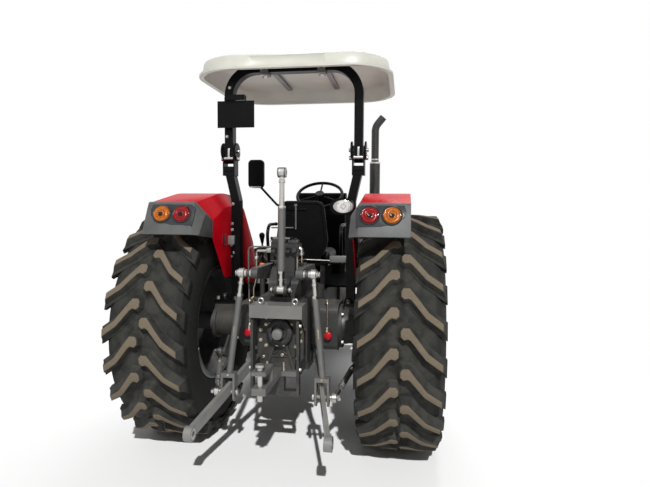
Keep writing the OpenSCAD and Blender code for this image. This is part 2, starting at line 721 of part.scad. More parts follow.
module pto_shield() {
    color("#6a6e71") place() {
        box([-166, -505, 212], [166, pto_y, 220]);
        box([-166, -505, 140], [166, -497, 220]);
        both() {
            side_plate(158, 166, [[pto_y, 40], [pto_y, 220], [-505, 220], [-505, 140]]);
            box([150, pto_y - 8, 60], [166, pto_y, 212]);
            translate([110, -440, 236]) rotate([90, 0, 0]) rotate_extrude() translate([16, 0]) circle(r = 5);
        }
    }
}

module drawbar_hanger() {
    color("#3a3c3e") place() {
        both() {
            box([136, -525, -310], [152, -475, 130]);
            box([136, -476, 60], [149, pto_y, 120]);
            box([136, -476, -200], [149, pto_y, -140]);
        }
        box([-152, -525, -330], [152, -475, -300]);
        box([-60, -525, -301], [60, -475, -211]);
    }
}

module drawbar() {
    color("#47494b") place() {
        box([-40, -870, -211], [40, -470, -172]);
        box([-135.7, -520, -211], [135.7, -480, -180]);
        box([-40, -870, -102], [40, -700, -80]);
        box([-40, -722, -173], [40, -700, -80]);
        translate([0, -838, -250]) cylinder(h = 205, r = 15);
        translate([0, -838, -60]) cylinder(h = 14, r = 26);
    }
}

module hydraulic_valves() {
    color("#55585b") place() {
        box([-100, -235, 500], [88, -130, 580]);
        side_plate(-60, 60, [[-235, 330 + 25 / 1.1], [-152, 330 + 108 / 1.1], [-152, 501], [-235, 501]]);
        for (x = [-75, -25, 25, 63]) y_cyl(-275, -234, x, 545, 17);
    }
}

// A lift arm's outline, tapered from the shaft to its end
function arm_outline() = let (lean = atan2(arm_end_yz[1] - shaft_yz[1], arm_end_yz[0] - shaft_yz[0])) concat(
    arc(shaft_yz, 54, lean + 80, lean + 280, 10), arc(arm_end_yz, 34, lean - 80, lean + 80, 8));

module rockshaft() {
    color("#4d5052") place() {
        x_cyl(-165, 165, shaft_yz, 32);
        both() {
            side_plate(121, 164, arm_outline());
            x_cyl(163, 252, arm_end_yz, arm_pin_r);
            x_cyl(163, 210, arm_end_yz, 22);
            x_cyl(246, 253, arm_end_yz, 22);
        }
    }
}

module lift_rod() {
    top = [rod_top_x, arm_end_yz[0], arm_end_yz[1]];
    low = [link_rod_x, link_rod_yz[0], link_rod_yz[1]];
    crown = low + [0, 8, 118];
    leg = concat(arc(link_rod_yz - [0, 22], 34, 180, 360, 8),
        [[link_rod_yz[0] + 34, low[2] + 120], [link_rod_yz[0] - 26, low[2] + 120]]);
    color("#5b5e60") place() difference() {
        union() {
            x_cyl(rod_top_x - 15, rod_top_x + 15, arm_end_yz, 30);
            bar(top + way(top, low) * 24, crown, 13);
            bar(top + way(top, low) * 150, crown, 21);
            box(low + [-44, -26, 96], low + [44, 34, 122]);
            for (x = [-44, 32]) side_plate(link_rod_x + x, link_rod_x + x + 12, leg);
        }
        x_cyl(rod_top_x - 40, rod_top_x + 40, arm_end_yz, arm_pin_r + pin_gap);
        for (d = [-18, 18]) x_cyl(link_rod_x - 60, link_rod_x + 60, link_rod_yz + [0, d], rod_pin_r + 7);
        box(low + [-60, -rod_pin_r - 7, -18], low + [60, rod_pin_r + 7, 18]);
    }
}

module lift_rod_right() {
    lift_rod();
}

module lift_rod_left() {
    mirror([1, 0, 0]) lift_rod();
}

module lower_link() {
    front = [link_front_x, link_front_yz[0], link_front_yz[1]];
    rear = [link_rear_x, link_rear_yz[0], link_rear_yz[1]];
    color("#63676a") place() difference() {
        union() {
            x_cyl(link_front_x - 17, link_front_x + 17, link_front_yz, 38);
            x_cyl(link_rear_x - link_eye_w / 2, link_rear_x + link_eye_w / 2, link_rear_yz, 42);
            flat_bar(front + way(front, rear) * 24, rear + way(rear, front) * 26, 25, 66);
            x_cyl(link_rod_x - 56, stabiliser_rear_x + 18, link_rod_yz, rod_pin_r);
            x_cyl(link_rod_x - 60, link_rod_x - 49, link_rod_yz, 20);
            x_cyl(link_rod_x + 49, stabiliser_rear_x - 15, link_rod_yz, 18);
            x_cyl(stabiliser_rear_x + 16, stabiliser_rear_x + 24, link_rod_yz, 15.5);
        }
        x_cyl(link_front_x - 60, link_front_x + 60, link_front_yz, link_pin_r + pin_gap);
        x_cyl(link_rear_x - 60, link_rear_x + 60, link_rear_yz, link_bore_r);
    }
}

module lower_link_right() {
    lower_link();
}

module lower_link_left() {
    mirror([1, 0, 0]) lower_link();
}

module stabiliser() {
    front = [stabiliser_front_x, link_front_yz[0], link_front_yz[1]];
    rear = [stabiliser_rear_x, link_rod_yz[0], link_rod_yz[1]];
    color("#63676a") place() difference() {
        union() {
            x_cyl(stabiliser_front_x - 13, stabiliser_front_x + 13, link_front_yz, 27);
            x_cyl(stabiliser_rear_x - 13, stabiliser_rear_x + 13, link_rod_yz, 27);
            bar(front + way(front, rear) * 20, rear + way(rear, front) * 20, 12);
            bar(front + way(front, rear) * 110, rear + way(rear, front) * 90, 19);
        }
        x_cyl(stabiliser_front_x - 40, stabiliser_front_x + 40, link_front_yz, rod_pin_r + pin_gap);
        x_cyl(stabiliser_rear_x - 40, stabiliser_rear_x + 40, link_rod_yz, rod_pin_r + pin_gap);
    }
}

module stabiliser_right() {
    stabiliser();
}

module stabiliser_left() {
    mirror([1, 0, 0]) stabiliser();
}

module top_link() {
    lean = 2;
    color("#5b5e60") place() translate([0, top_pin_yz[0], top_pin_yz[1]]) rotate([-lean, 0, 0]) difference() {
        union() {
            x_cyl(-22, 22, [0, 0], 28);
            bar([0, 0, 18], [0, 0, 180], 15);
            bar([0, 0, 120], [0, 0, 520], 24);
            bar([0, 0, 510], [0, 0, top_link_l - 24], 15);
            x_cyl(-top_eye_w / 2, top_eye_w / 2, [0, top_link_l], 32);
            bar([-70, 0, 330], [70, 0, 330], 7);
        }
        x_cyl(-40, 40, [0, 0], top_pin_r + pin_gap);
        x_cyl(-60, 60, [0, top_link_l], top_bore_r);
    }
}

module rear_tyre_right() {
    color("#1c1c1b") place() translate([rear_track / 2, 0, 0]) tyre(rear_r, rear_w, rear_rim_r, rear_rim_w,
        rear_lugs, rear_lug_h, [[rear_rim_w / 2 - 8, rear_rim_r + 30], [rear_w / 2, rear_rim_r + 190]]);
}

module rear_tyre_left() {
    mirror([1, 0, 0]) rear_tyre_right();
}

module rear_rim() {
    half = rear_track / 2;
    disc_at = 30;
    hub_at = -20;
    color("#33363a") place() translate([half, 0, 0]) {
        rim(rear_rim_r, rear_rim_w, disc_at, hub_at, 110);
        x_cyl(trumpet_end - 58 - half, hub_at + 1, [0, 0], half_shaft_r);
        x_cyl(trumpet_end + 2 - half, hub_at + 1, [0, 0], 62);
        x_cyl(hub_at - 24, hub_at + 1, [0, 0], 150);
    }
}

module rear_rim_right() {
    rear_rim();
}

module rear_rim_left() {
    mirror([1, 0, 0]) rear_rim();
}

module front_tyre_right() {
    color("#1c1c1b") place() translate([front_track / 2, wheelbase, front_z])
        tyre(front_r, front_w, front_rim_r, front_rim_w, front_lugs, front_lug_h,
            [[front_w / 2, front_rim_r + 125]]);
}

module front_tyre_left() {
    mirror([1, 0, 0]) front_tyre_right();
}

module front_rim() {
    half = front_track / 2;
    color("#33363a") place() translate([half, wheelbase, front_z]) difference() {
        rim(front_rim_r, front_rim_w, 10, hub_x + 2 - half, 100);
        x_cyl(-200, 200, [0, 0], 70 + pin_gap);
    }
}

module front_rim_right() {
    front_rim();
}

module front_rim_left() {
    mirror([1, 0, 0]) front_rim();
}

module knuckle() {
    color("#45484b") place() translate([kp_x, wheelbase, front_z]) {
        cylinder(h = 2 * (boss_half + yoke_t), r = kingpin_r, center = true);
        for (z = [boss_half + 2, -boss_half - yoke_t]) translate([0, 0, z]) {
            cylinder(h = yoke_t - 2, r = 58);
            box([0, -56, 0], [98, 56, yoke_t - 2]);
        }
        box([62, -60, -boss_half - yoke_t], [98, 60, boss_half + yoke_t]);
        x_cyl(97, hub_x - kp_x, [0, 0], 118);
        x_cyl(97, hub_x - kp_x + 60, [0, 0], 70);
        box([-28, -arm_l, -boss_half - yoke_t], [28, 0, -boss_half - 4]);
        translate([0, -arm_l, -boss_half - yoke_t]) cylinder(h = boss_half + yoke_t - rod_drop - 23, r = 28);
    }
}

module knuckle_right() {
    knuckle();
}

module knuckle_left() {
    mirror([1, 0, 0]) knuckle();
}

module steering_rod() {
    y = wheelbase - arm_l;
    z = front_z - rod_drop;
    color("#b5b8ba") place() {
        x_cyl(-kp_x + 10, kp_x - 10, [y, z], 15);
        both() translate([kp_x, y, z - 18]) cylinder(h = 36, r = 28);
    }
}

// The bonnet's outline across, at a place along the tractor
function bonnet_half_at(y) = bonnet_half - 26 * pow((y - bonnet_y) / (nose_y - bonnet_y), 2);
function bonnet_top_at(y) = bonnet_z - 190 * pow((y - bonnet_y) / (nose_y - bonnet_y), 1.6);
function bonnet_low_at(y) = 205 - 60 * pow((y - bonnet_y) / (nose_y - bonnet_y), 3);
function bonnet_arch(h, top, low, r) = concat([[-h, low]], corner([-h, low], [-h, top], [h, top], r, 5),
    corner([-h, top], [h, top], [h, low], r, 5), [[h, low]]);

module bonnet() {
    stations = [for (i = [0 : 6]) bonnet_y + (nose_y - 20 - bonnet_y) * i / 6];
    color("#c8102e") place() {
        skin([for (y = stations)
            let (h = bonnet_half_at(y), top = bonnet_top_at(y), low = bonnet_low_at(y),
                out = bonnet_arch(h, top, low, 100), in = bonnet_arch(h - shell_t, top - shell_t, low, 92))
            [for (p = concat(out, [for (k = [len(in) - 1 : -1 : 0]) in[k]])) [p[0], y, p[1]]]], thin = true);
        for (x = [-1, 1] * bonnet_hinge_x, s = [-17, 17]) difference() {
            side_plate(x + s - 4, x + s + 4, [for (p = concat(arc([0, 0], 14, 180, 360, 8), [[14, 15], [-8, 15]]))
                p + bonnet_hinge]);
            x_cyl(x + s - 10, x + s + 10, bonnet_hinge, 8 + pin_gap);
        }
    }
}

module grille() {
    y = nose_y - 20;
    h = bonnet_half_at(y) - shell_t - 1;
    top = bonnet_top_at(y) - shell_t - 1;
    low = bonnet_low_at(y);
    color("#1f2123") place() {
        difference() {
            translate([0, nose_y, 0]) rotate([90, 0, 0]) linear_extrude(20) polygon(
                bonnet_arch(bonnet_half_at(y), bonnet_top_at(y), low, 100));
            box([40 - h, nose_y - 60, low + 45], [h - 40, nose_y + 10, top - 190]);
            both() translate([h - 105, nose_y - 60, top - 105]) rotate([-90, 0, 0]) cylinder(h = 80, r = 66);
        }
        for (i = [0 : 7]) box([30 - h, nose_y - 14, low + 66 + i * 38], [h - 30, nose_y - 4, low + 80 + i * 38]);
    }
}

module headlamps() {
    y = nose_y - 20;
    h = bonnet_half_at(y) - shell_t - 1;
    top = bonnet_top_at(y) - shell_t - 1;
    color("#d8dadb") place() both() translate([h - 105, nose_y - 30, top - 105]) rotate([-90, 0, 0])
        cylinder(h = 26, r = 66);
}

transmission();
lift_cover();
axle_housings();
engine();
front_support();
front_axle();
drive_shaft();
radiator();
platform();
fuel_tank();
fender_left();
fender_right();
lamp_housings();
lamps_amber();
lamps_red();
rops_posts();
seat_base();
seat_cushion();
seat_back();
dash();
levers();
seat_rails();
exhaust();
mirror_arm();  // mirror
work_lamp();
pto_shield();
drawbar_hanger();
drawbar();
hydraulic_valves();
rear_tyre_left();
rear_tyre_right();
rear_rim_left();
rear_rim_right();
front_tyre_left();
front_tyre_right();
front_rim_left();
front_rim_right();
knuckle_left();
knuckle_right();
steering_rod();
steering_wheel();
rops_hoop();
canopy();
canopy_rails();
number_plate();
bonnet();
grille();
headlamps();
rockshaft();
lift_rod_left();
lift_rod_right();
lower_link_left();
lower_link_right();
stabiliser_left();
stabiliser_right();
top_link();
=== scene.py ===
"""Looks of the farm tractor: a finish for every solid, and the pieces that the solids leave plain."""
import math

import bmesh
import bpy
from mathutils import Matrix, Vector


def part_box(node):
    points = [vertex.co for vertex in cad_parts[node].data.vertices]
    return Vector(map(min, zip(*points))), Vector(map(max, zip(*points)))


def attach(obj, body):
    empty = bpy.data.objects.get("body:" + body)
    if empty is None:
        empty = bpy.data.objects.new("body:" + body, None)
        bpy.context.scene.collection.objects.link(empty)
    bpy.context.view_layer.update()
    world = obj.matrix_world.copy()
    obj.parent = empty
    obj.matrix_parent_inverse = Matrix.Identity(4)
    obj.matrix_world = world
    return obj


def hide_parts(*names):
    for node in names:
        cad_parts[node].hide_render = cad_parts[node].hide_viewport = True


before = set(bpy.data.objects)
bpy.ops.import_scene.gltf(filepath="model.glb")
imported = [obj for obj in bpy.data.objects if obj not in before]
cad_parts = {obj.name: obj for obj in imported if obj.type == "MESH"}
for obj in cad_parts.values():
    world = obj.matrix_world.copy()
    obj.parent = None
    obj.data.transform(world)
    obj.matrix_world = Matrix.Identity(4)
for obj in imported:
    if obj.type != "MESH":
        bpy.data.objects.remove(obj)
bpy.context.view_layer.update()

X_AXIS = Vector((1, 0, 0))
Y_AXIS = Vector((0, 1, 0))
Z_AXIS = Vector((0, 0, 1))
SIDES = {"right": 1, "left": -1}


def corners(node):
    """The two opposite corners of a node's box."""
    return [Vector(corner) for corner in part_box(node)]


def middle_of(low, high):
    return (low + high) / 2


# Wheel centres and tyre sizes on the right-hand side
TYRE_LOW, TYRE_HIGH = corners("rear_tyre_right")
FRONT_LOW, FRONT_HIGH = corners("front_tyre_right")
REAR_MID, FRONT_MID = middle_of(TYRE_LOW, TYRE_HIGH), middle_of(FRONT_LOW, FRONT_HIGH)
AXLE, FRONT = Vector((0, *REAR_MID.yz)), Vector((0, *FRONT_MID.yz))
REAR_R, FRONT_R = TYRE_HIGH.z - AXLE.z, FRONT_HIGH.z - FRONT.z
REAR_LUG, FRONT_LUG = 0.05, 0.04
# Drop of a lug's face from the middle of the tread to its edge
CROWN = 0.012


# Placing: places are measured from the middle of the rear axle, in metres


def at(x, y, z):
    return AXLE + Vector((x, y, z))


def put(x, y, z):
    """The move from the origin to a place."""
    return Matrix.Translation(at(x, y, z))


def up(height):
    return Matrix.Translation((0, 0, height))


def turn_to(axis):
    """The rotation that takes Z to an axis."""
    return Z_AXIS.rotation_difference(Vector(axis)).to_matrix().to_4x4()


def upon(a, b):
    """The placing that stands on a, with Z towards b."""
    return Matrix.Translation(a) @ turn_to((b - a).normalized())


# Rotations that take Z outwards on each side, to the rear and to the front
OUT = {sign: turn_to(X_AXIS * sign) for sign in SIDES.values()}
REAR, AHEAD = turn_to(-Y_AXIS), turn_to(Y_AXIS)
# A frame for plates that face rearwards: X across, Y up and Z to the rear
UPRIGHT = Matrix.Rotation(math.pi / 2, 4, "X")


# Finishes


def math_node(operation, swapped=False):
    """A method that adds a Math node, with its values the other way round where swapped."""
    def method(self, *others):
        values = (*others, self) if swapped else (self, *others)
        return self.owner.node("ShaderNodeMath", {"operation": operation}, dict(enumerate(values)))
    return method


class Value:
    """A socket of a node tree, with arithmetic that adds Math nodes."""

    def __init__(self, owner, socket):
        self.owner = owner
        self.socket = socket

    __add__, __radd__ = math_node("ADD"), math_node("ADD", True)
    __sub__, __rsub__ = math_node("SUBTRACT"), math_node("SUBTRACT", True)
    __mul__, __rmul__ = math_node("MULTIPLY"), math_node("MULTIPLY", True)
    __truediv__, __abs__ = math_node("DIVIDE"), math_node("ABSOLUTE")
    sine, root, high = math_node("SINE"), math_node("SQRT"), math_node("MAXIMUM")

    def step(self, start, end):
        """0 below start, 1 above end and smooth between them."""
        return self.owner.node("ShaderNodeMapRange", {"interpolation_type": "SMOOTHSTEP"},
                               {"Value": self, "From Min": start, "From Max": end})


class Nodes:
    """A node tree that is built from values."""

    def __init__(self, tree):
        self.tree = tree

    def node(self, kind, settings=None, inputs=None, out=0):
        """Adds a node with its settings and the values or links of its sockets, and returns an output."""
        new = self.tree.nodes.new(kind)
        for key, setting in (settings or {}).items():
            if key == "stops":
                while len(new.color_ramp.elements) < len(setting):
                    new.color_ramp.elements.new(1)
                for element, (place, colour) in zip(new.color_ramp.elements, setting):
                    element.position = place
                    element.color = (*colour, 1)
            else:
                setattr(new, key, setting)
        for key, value in (inputs or {}).items():
            if isinstance(value, Value):
                self.tree.links.new(value.socket, new.inputs[key])
            else:
                new.inputs[key].default_value = value
        return Value(self, new.outputs[out])


class Finish(Nodes):
    """A material with a Principled shader, built from nodes on Object coordinates."""

    def __init__(self, name, **constants):
        self.material = bpy.data.materials.new(name)
        self.material.use_nodes = True
        super().__init__(self.material.node_tree)
        self.shader = self.tree.nodes["Principled BSDF"]
        for socket, value in constants.items():
            self.shader.inputs[socket.replace("_", " ")].default_value = value

    def place(self):
        return self.node("ShaderNodeTexCoord", out="Object")

    def along(self, axis):
        return self.node("ShaderNodeSeparateXYZ", None, {0: self.place()}, out=axis)

    def noise(self, scale, detail=3.0, rough=0.55, stretch=None):
        vector = self.place()
        if stretch:
            vector = self.node("ShaderNodeMapping", None, {"Vector": vector, "Scale": stretch})
        return self.node("ShaderNodeTexNoise", None,
                         {"Vector": vector, "Scale": scale, "Detail": detail, "Roughness": rough})

    def cells(self, scale):
        return self.node("ShaderNodeTexVoronoi", None, {"Vector": self.place(), "Scale": scale})

    def ramp(self, value, *stops):
        return self.node("ShaderNodeValToRGB", {"stops": stops}, {0: value})

    def mix(self, share, first, second):
        colours = [c if isinstance(c, Value) else (*c, 1) for c in (first, second)]
        return self.node("ShaderNodeMix", {"data_type": "RGBA"},
                         {0: share, 6: colours[0], 7: colours[1]}, out=2)

    def bump(self, height, strength, distance):
        return self.node("ShaderNodeBump", None,
                         {"Strength": strength, "Distance": distance, "Height": height})

    def set(self, **values):
        for socket, value in values.items():
            self.tree.links.new(value.socket, self.shader.inputs[socket.replace("_", " ")])
        return self.material


def shade(colour, factor):
    return tuple(min(1.0, part * factor) for part in colour)


DUST = (0.23, 0.19, 0.14)


def dusty(finish, colour, amount):
    """Colour with road dust that thickens towards the ground."""
    height = 1 - finish.along("Z").step(0.1, 1.7)
    cloud = finish.noise(3.5, 5).step(0.42, 0.75)
    return finish.mix(height * cloud * amount, colour, DUST)


def two_tone(finish, share, colour, dark, light):
    """A colour that varies between a darker and a lighter tone."""
    return finish.mix(share, shade(colour, dark), shade(colour, light))


def paint(name, colour, rough, coat, grain=900.0, dust=0.25, shine=0.5):
    """Sprayed paint: slight cloudiness, orange peel and a clear top."""
    f = Finish(name, Coat_Roughness=0.08, IOR=1.5, Specular_IOR_Level=shine)
    cloud = f.noise(7.0, 4)
    body = two_tone(f, cloud.step(0.3, 0.7), colour, 0.88, 1.1)
    peel = f.noise(grain, 1)
    scuff = f.noise(60.0, 6, 0.7).step(0.6, 0.78)
    return f.set(Base_Color=dusty(f, body, dust), Roughness=rough + scuff * 0.18 + cloud * 0.06,
                 Coat_Weight=coat * (1 - scuff * 0.5), Normal=f.bump(peel, 0.12, 0.0008))


def casting(name, colour, rough=0.55):
    """Painted cast iron: coarse skin, darker oily patches and dust in places."""
    f = Finish(name, IOR=1.5)
    skin = f.noise(420.0, 5, 0.65)
    oil = f.noise(9.0, 4).step(0.52, 0.72)
    body = two_tone(f, f.noise(35.0, 4).step(0.35, 0.7), colour, 0.75, 1.25)
    wet = f.mix(oil * 0.7, body, shade(colour, 0.4))
    return f.set(Base_Color=dusty(f, wet, 0.3), Roughness=rough - oil * 0.2 + skin * 0.1,
                 Normal=f.bump(skin, 0.45, 0.0016))


def bare_metal(name, colour, rough):
    """Plated or bare steel: fine streaks and duller stains."""
    f = Finish(name, IOR=2.4)
    streak = f.noise(160.0, 4, 0.6, (1.0, 1.0, 0.15))
    stain = f.noise(24.0, 4).step(0.5, 0.75)
    body = two_tone(f, streak.step(0.3, 0.7), colour, 0.8, 1.0)
    return f.set(Base_Color=f.mix(stain * 0.5, body, shade(colour, 0.45)), Metallic=1 - stain * 0.25,
                 Roughness=rough + stain * 0.25 + streak * 0.1, Normal=f.bump(streak, 0.08, 0.0006))


def plastic(name, colour, rough, grain=700.0, depth=0.3, dust=0.15, shine=0.2):
    """Moulded plastic with a leathery grain."""
    f = Finish(name, IOR=1.46, Specular_IOR_Level=shine)
    pebble = f.cells(grain)
    cloud = f.noise(11.0, 4)
    body = two_tone(f, cloud.step(0.3, 0.7), colour, 0.85, 1.15)
    return f.set(Base_Color=dusty(f, body, dust), Roughness=rough + cloud * 0.12 - 0.06,
                 Normal=f.bump(pebble, depth, 0.0006))


def rubber(name, centre, radius, tread, half_width):
    """Tyre rubber: speckled black with worn, earthy lug faces."""
    f = Finish(name, IOR=1.5, Specular_IOR_Level=0.18)
    y = f.along("Y") - centre.y
    z = f.along("Z") - centre.z
    reach = (y * y + z * z).root()
    across = abs(abs(f.along("X")) - centre.x) / half_width
    crowned = reach + across * across * across * CROWN
    grain = f.noise(330.0, 4, 0.7)
    cloud = f.noise(14.0, 4)
    black = f.mix(grain.step(0.35, 0.7), (0.008, 0.008, 0.0075), (0.025, 0.025, 0.0225))
    floor = f.mix(reach.step(radius - tread - 0.02, radius - tread) * cloud.step(0.3, 0.65) * 0.6,
                  black, (0.050, 0.049, 0.043))
    worn = f.mix(grain.step(0.3, 0.7), (0.100, 0.080, 0.056), (0.175, 0.143, 0.102))
    top = crowned.step(radius - 0.005, radius - 0.0015)
    return f.set(Base_Color=f.mix(top * (0.8 + cloud * 0.3), floor, worn),
                 Roughness=0.72 + top * 0.1 + grain * 0.08,
                 Normal=f.bump(grain, 0.5, 0.0014))


def vinyl(name, colour):
    """Seat cover: creased black vinyl with a leather grain."""
    f = Finish(name, Sheen_Weight=0.02, Sheen_Roughness=0.4, Specular_IOR_Level=0.15)
    hide = f.cells(260.0)
    crease = f.noise(38.0, 5, 0.6)
    body = two_tone(f, f.noise(9.0, 4).step(0.35, 0.7), colour, 0.8, 1.35)
    return f.set(Base_Color=body, Roughness=0.42 + crease * 0.2,
                 Normal=f.bump(hide * 0.6 + crease, 0.35, 0.0012))


def reach_from(finish, centre, radius, squeeze=1.0):
    """Distance from a lamp's middle, on either side of the tractor, as a share of its radius."""
    x = abs(finish.along("X")) - centre.x
    z = (finish.along("Z") - centre.z) * squeeze
    return (x * x + z * z).root() / radius


def lens(name, colour, centre, radius):
    """A round lamp seen through its ribbed lens: painted shade on the dark bulb, painted reflections of the
    bright reflector round it, and moulded rings.
    """
    f = Finish(name, Roughness=0.16, IOR=1.5, Specular_IOR_Level=0.2, Coat_Weight=0.12, Coat_Roughness=0.03)
    reach = reach_from(f, centre, radius, 1.1)
    flecks = f.noise(90.0, 3).step(0.4, 0.65)
    # Painted light and shade of the lamp: dark at the bulb, then bright rings where the reflector reflects,
    # some above the lens colour as painted highlights
    painted_reflector_light_and_shade = f.ramp(reach, *((place, shade(colour, level)) for place, level in (
        (0.0, 0.03), (0.24, 0.06), (0.34, 1.0), (0.52, 0.55), (0.62, 1.15), (0.9, 0.7), (1.0, 0.25))))
    # Flecks darken the painted reflections in patches
    body = f.mix(flecks * reach.step(0.25, 0.4) * 0.55, painted_reflector_light_and_shade, shade(colour, 0.28))
    return f.set(Base_Color=body, Normal=f.bump((reach * 75.0).sine(), 0.25, 0.0008))


def clear_glass(name, colour, centre, radius):
    """A clear lens with upright flutes, over painted reflections of a bright reflector, with painted light
    and dark stripes along the flutes.
    """
    f = Finish(name, Roughness=0.08, Metallic=0.55, IOR=1.5, Coat_Weight=1.0, Coat_Roughness=0.02)
    flute = (f.along("X") * 520.0).sine()
    # Painted reflections of the reflector: brighter and dimmer rings outwards from the middle
    painted_reflector_light_and_shade = f.ramp(reach_from(f, centre, radius), *((place, shade(colour, level)) for place, level in (
        (0.0, 0.95), (0.3, 0.5), (0.55, 1.0), (1.0, 0.4))))
    # The darker stripes along the flutes are painted shade, laid over the painted reflections
    return f.set(Base_Color=f.mix(flute * 0.25 + 0.25, painted_reflector_light_and_shade, shade(colour, 0.6)),
                 Normal=f.bump(flute, 0.3, 0.001))


def roof(name, colour):
    """The canopy's moulded skin: pale gel coat with faint mottling and dust on top."""
    f = Finish(name, IOR=1.48, Coat_Roughness=0.25)
    cloud = f.noise(5.0, 5)
    speck = f.noise(260.0, 3, 0.7)
    body = two_tone(f, cloud.step(0.3, 0.72), colour, 0.93, 1.04)
    soiled = f.mix(speck.step(0.62, 0.8) * 0.25, body, shade(colour, 0.7))
    return f.set(Base_Color=soiled, Roughness=0.36 + cloud * 0.14, Coat_Weight=0.3 - cloud * 0.2,
                 Normal=f.bump(speck, 0.12, 0.0008))


def burnt_steel(name, colour):
    """Exhaust steel: browned by heat, streaked down its length."""
    f = Finish(name, IOR=1.8)
    streak = f.noise(18.0, 5, 0.6, (1.0, 1.0, 0.2))
    rust = f.noise(70.0, 5, 0.7).step(0.55, 0.75)
    body = two_tone(f, streak.step(0.3, 0.7), colour, 0.7, 1.3)
    return f.set(Base_Color=f.mix(rust * 0.4, body, (0.09, 0.045, 0.025)), Metallic=0.6 - rust * 0.5,
                 Roughness=0.42 + rust * 0.3, Normal=f.bump(streak + rust, 0.2, 0.001))


def core(name):
    """A radiator's finned core."""
    f = Finish(name, IOR=1.5)
    fins = (f.along("Z") * 900.0).sine()
    tubes = (f.along("X") * 420.0).sine()
    body = f.mix(fins * 0.5 + 0.5, (0.015, 0.016, 0.017), (0.07, 0.072, 0.075))
    return f.set(Base_Color=body, Metallic=0.4 + tubes * 0.2, Roughness=0.5 + fins * 0.1,
                 Normal=f.bump(fins + tubes, 0.6, 0.002))


# Lamps: radius, places across, and the height and depth they share
LAMP_R = 0.057
AMBER_X, RED_X = 0.702, 0.574
LAMP_YZ = (-0.552, 0.776)
WORK_AT, WORK_R = (0.382, -0.238, 0.830), 0.05
HEAD_LOW, HEAD_HIGH = corners("headlamps")
HEAD_R = (HEAD_HIGH.z - HEAD_LOW.z) / 2
HEAD_AT = Vector((HEAD_HIGH.x - HEAD_R, 0, HEAD_LOW.z + HEAD_R))

RED = paint("red_paint", (0.49, 0.002, 0.010), 0.3, 0.01, dust=0.02, shine=0.07)
BLACK = paint("black_paint", (0.0032, 0.0032, 0.0035), 0.3, 0.04, dust=0.01, shine=0.08)
LINK = paint("link_paint", (0.098, 0.098, 0.094), 0.4, 0.2, grain=500.0, dust=0.3)
BAR = paint("bar_paint", (0.165, 0.165, 0.157), 0.36, 0.25, grain=500.0, dust=0.2)
# A lighter copy of the rim paint for the rim flanges: the extra lightness is painted light on the flange ring
LIT_RIM_PAINT = paint("rim_paint_painted_highlight", (0.20, 0.205, 0.21), 0.36, 0.3, dust=0.15)
RIM = paint("rim_paint", (0.070, 0.072, 0.075), 0.36, 0.4, dust=0.3)
CAST = casting("cast_iron", (0.021, 0.0215, 0.021))
ARM = casting("arm_iron", (0.045, 0.046, 0.044), 0.42)
SHIELD = paint("shield_paint", (0.125, 0.125, 0.12), 0.5, 0.15, grain=500.0, dust=0.2)
ZINC = bare_metal("zinc_plate", (0.56, 0.55, 0.52), 0.24)
GOLD = bare_metal("yellow_zinc", (0.62, 0.53, 0.38), 0.28)
RED_PLASTIC = plastic("red_cap", (0.42, 0.008, 0.016), 0.35)
ORANGE = plastic("orange_cap", (0.80, 0.16, 0.008), 0.4)
HOUSING = plastic("housing_grey", (0.082, 0.084, 0.083), 0.42, 900.0, 0.2)
PLASTIC = plastic("black_plastic", (0.0025, 0.0025, 0.0026), 0.42, dust=0.01, shine=0.08)
BEZEL = plastic("lamp_panel", (0.03, 0.033, 0.036), 0.25, 1200.0, 0.1)
SEAT = vinyl("seat_vinyl", (0.005, 0.005, 0.0052))
CANOPY = roof("canopy_skin", (0.49, 0.485, 0.43))
EXHAUST = burnt_steel("exhaust_steel", (0.019, 0.0185, 0.0175))
CORE = core("radiator_core")
AMBER = lens("amber_lens", (0.46, 0.115, 0.004), at(AMBER_X, *LAMP_YZ), LAMP_R)
REFLECTOR = plastic("reflector_red", (0.16, 0.006, 0.01), 0.2, 500.0, 0.5)
RED_LENS = lens("red_lens", (0.26, 0.0018, 0.0035), at(RED_X, *LAMP_YZ), LAMP_R)
WORK_LENS = clear_glass("work_lens", (0.82, 0.82, 0.79), at(*WORK_AT), WORK_R)
CLEAR = clear_glass("clear_lens", (0.82, 0.83, 0.84), HEAD_AT, HEAD_R)
REAR_RUBBER = rubber("rear_rubber", REAR_MID, REAR_R, REAR_LUG, TYRE_HIGH.x - REAR_MID.x)
FRONT_RUBBER = rubber("front_rubber", FRONT_MID, FRONT_R, FRONT_LUG, FRONT_HIGH.x - FRONT_MID.x)

NODE_FINISH = {
    RED: ["fender_left", "fender_right", "bonnet"],
    CAST: ["transmission", "lift_cover", "axle_housings", "engine", "front_support", "front_axle",
           "knuckle_left", "knuckle_right", "drive_shaft", "hydraulic_valves", "drawbar_hanger"],
    ARM: ["rockshaft"],
    BAR: ["lower_link_left", "lower_link_right"],
    LINK: ["lift_rod_left", "lift_rod_right", "stabiliser_left", "stabiliser_right", "top_link", "drawbar",
           "canopy_rails"],
    SHIELD: ["pto_shield"],
    BLACK: ["rops_posts", "rops_hoop", "platform", "seat_base", "seat_rails", "number_plate"],
    PLASTIC: ["dash", "levers", "mirror", "work_lamp", "steering_wheel", "grille", "fuel_tank"],
    HOUSING: ["lamp_housings"],
    AMBER: ["lamps_amber"],
    RED_LENS: ["lamps_red"],
    SEAT: ["seat_cushion", "seat_back"],
    CANOPY: ["canopy"],
    EXHAUST: ["exhaust"],
    CORE: ["radiator"],
    CLEAR: ["headlamps"],
    ZINC: ["steering_rod"],
    RIM: ["rear_rim_left", "rear_rim_right", "front_rim_left", "front_rim_right"],
    REAR_RUBBER: ["rear_tyre_left", "rear_tyre_right"],
    FRONT_RUBBER: ["front_tyre_left", "front_tyre_right"],
}
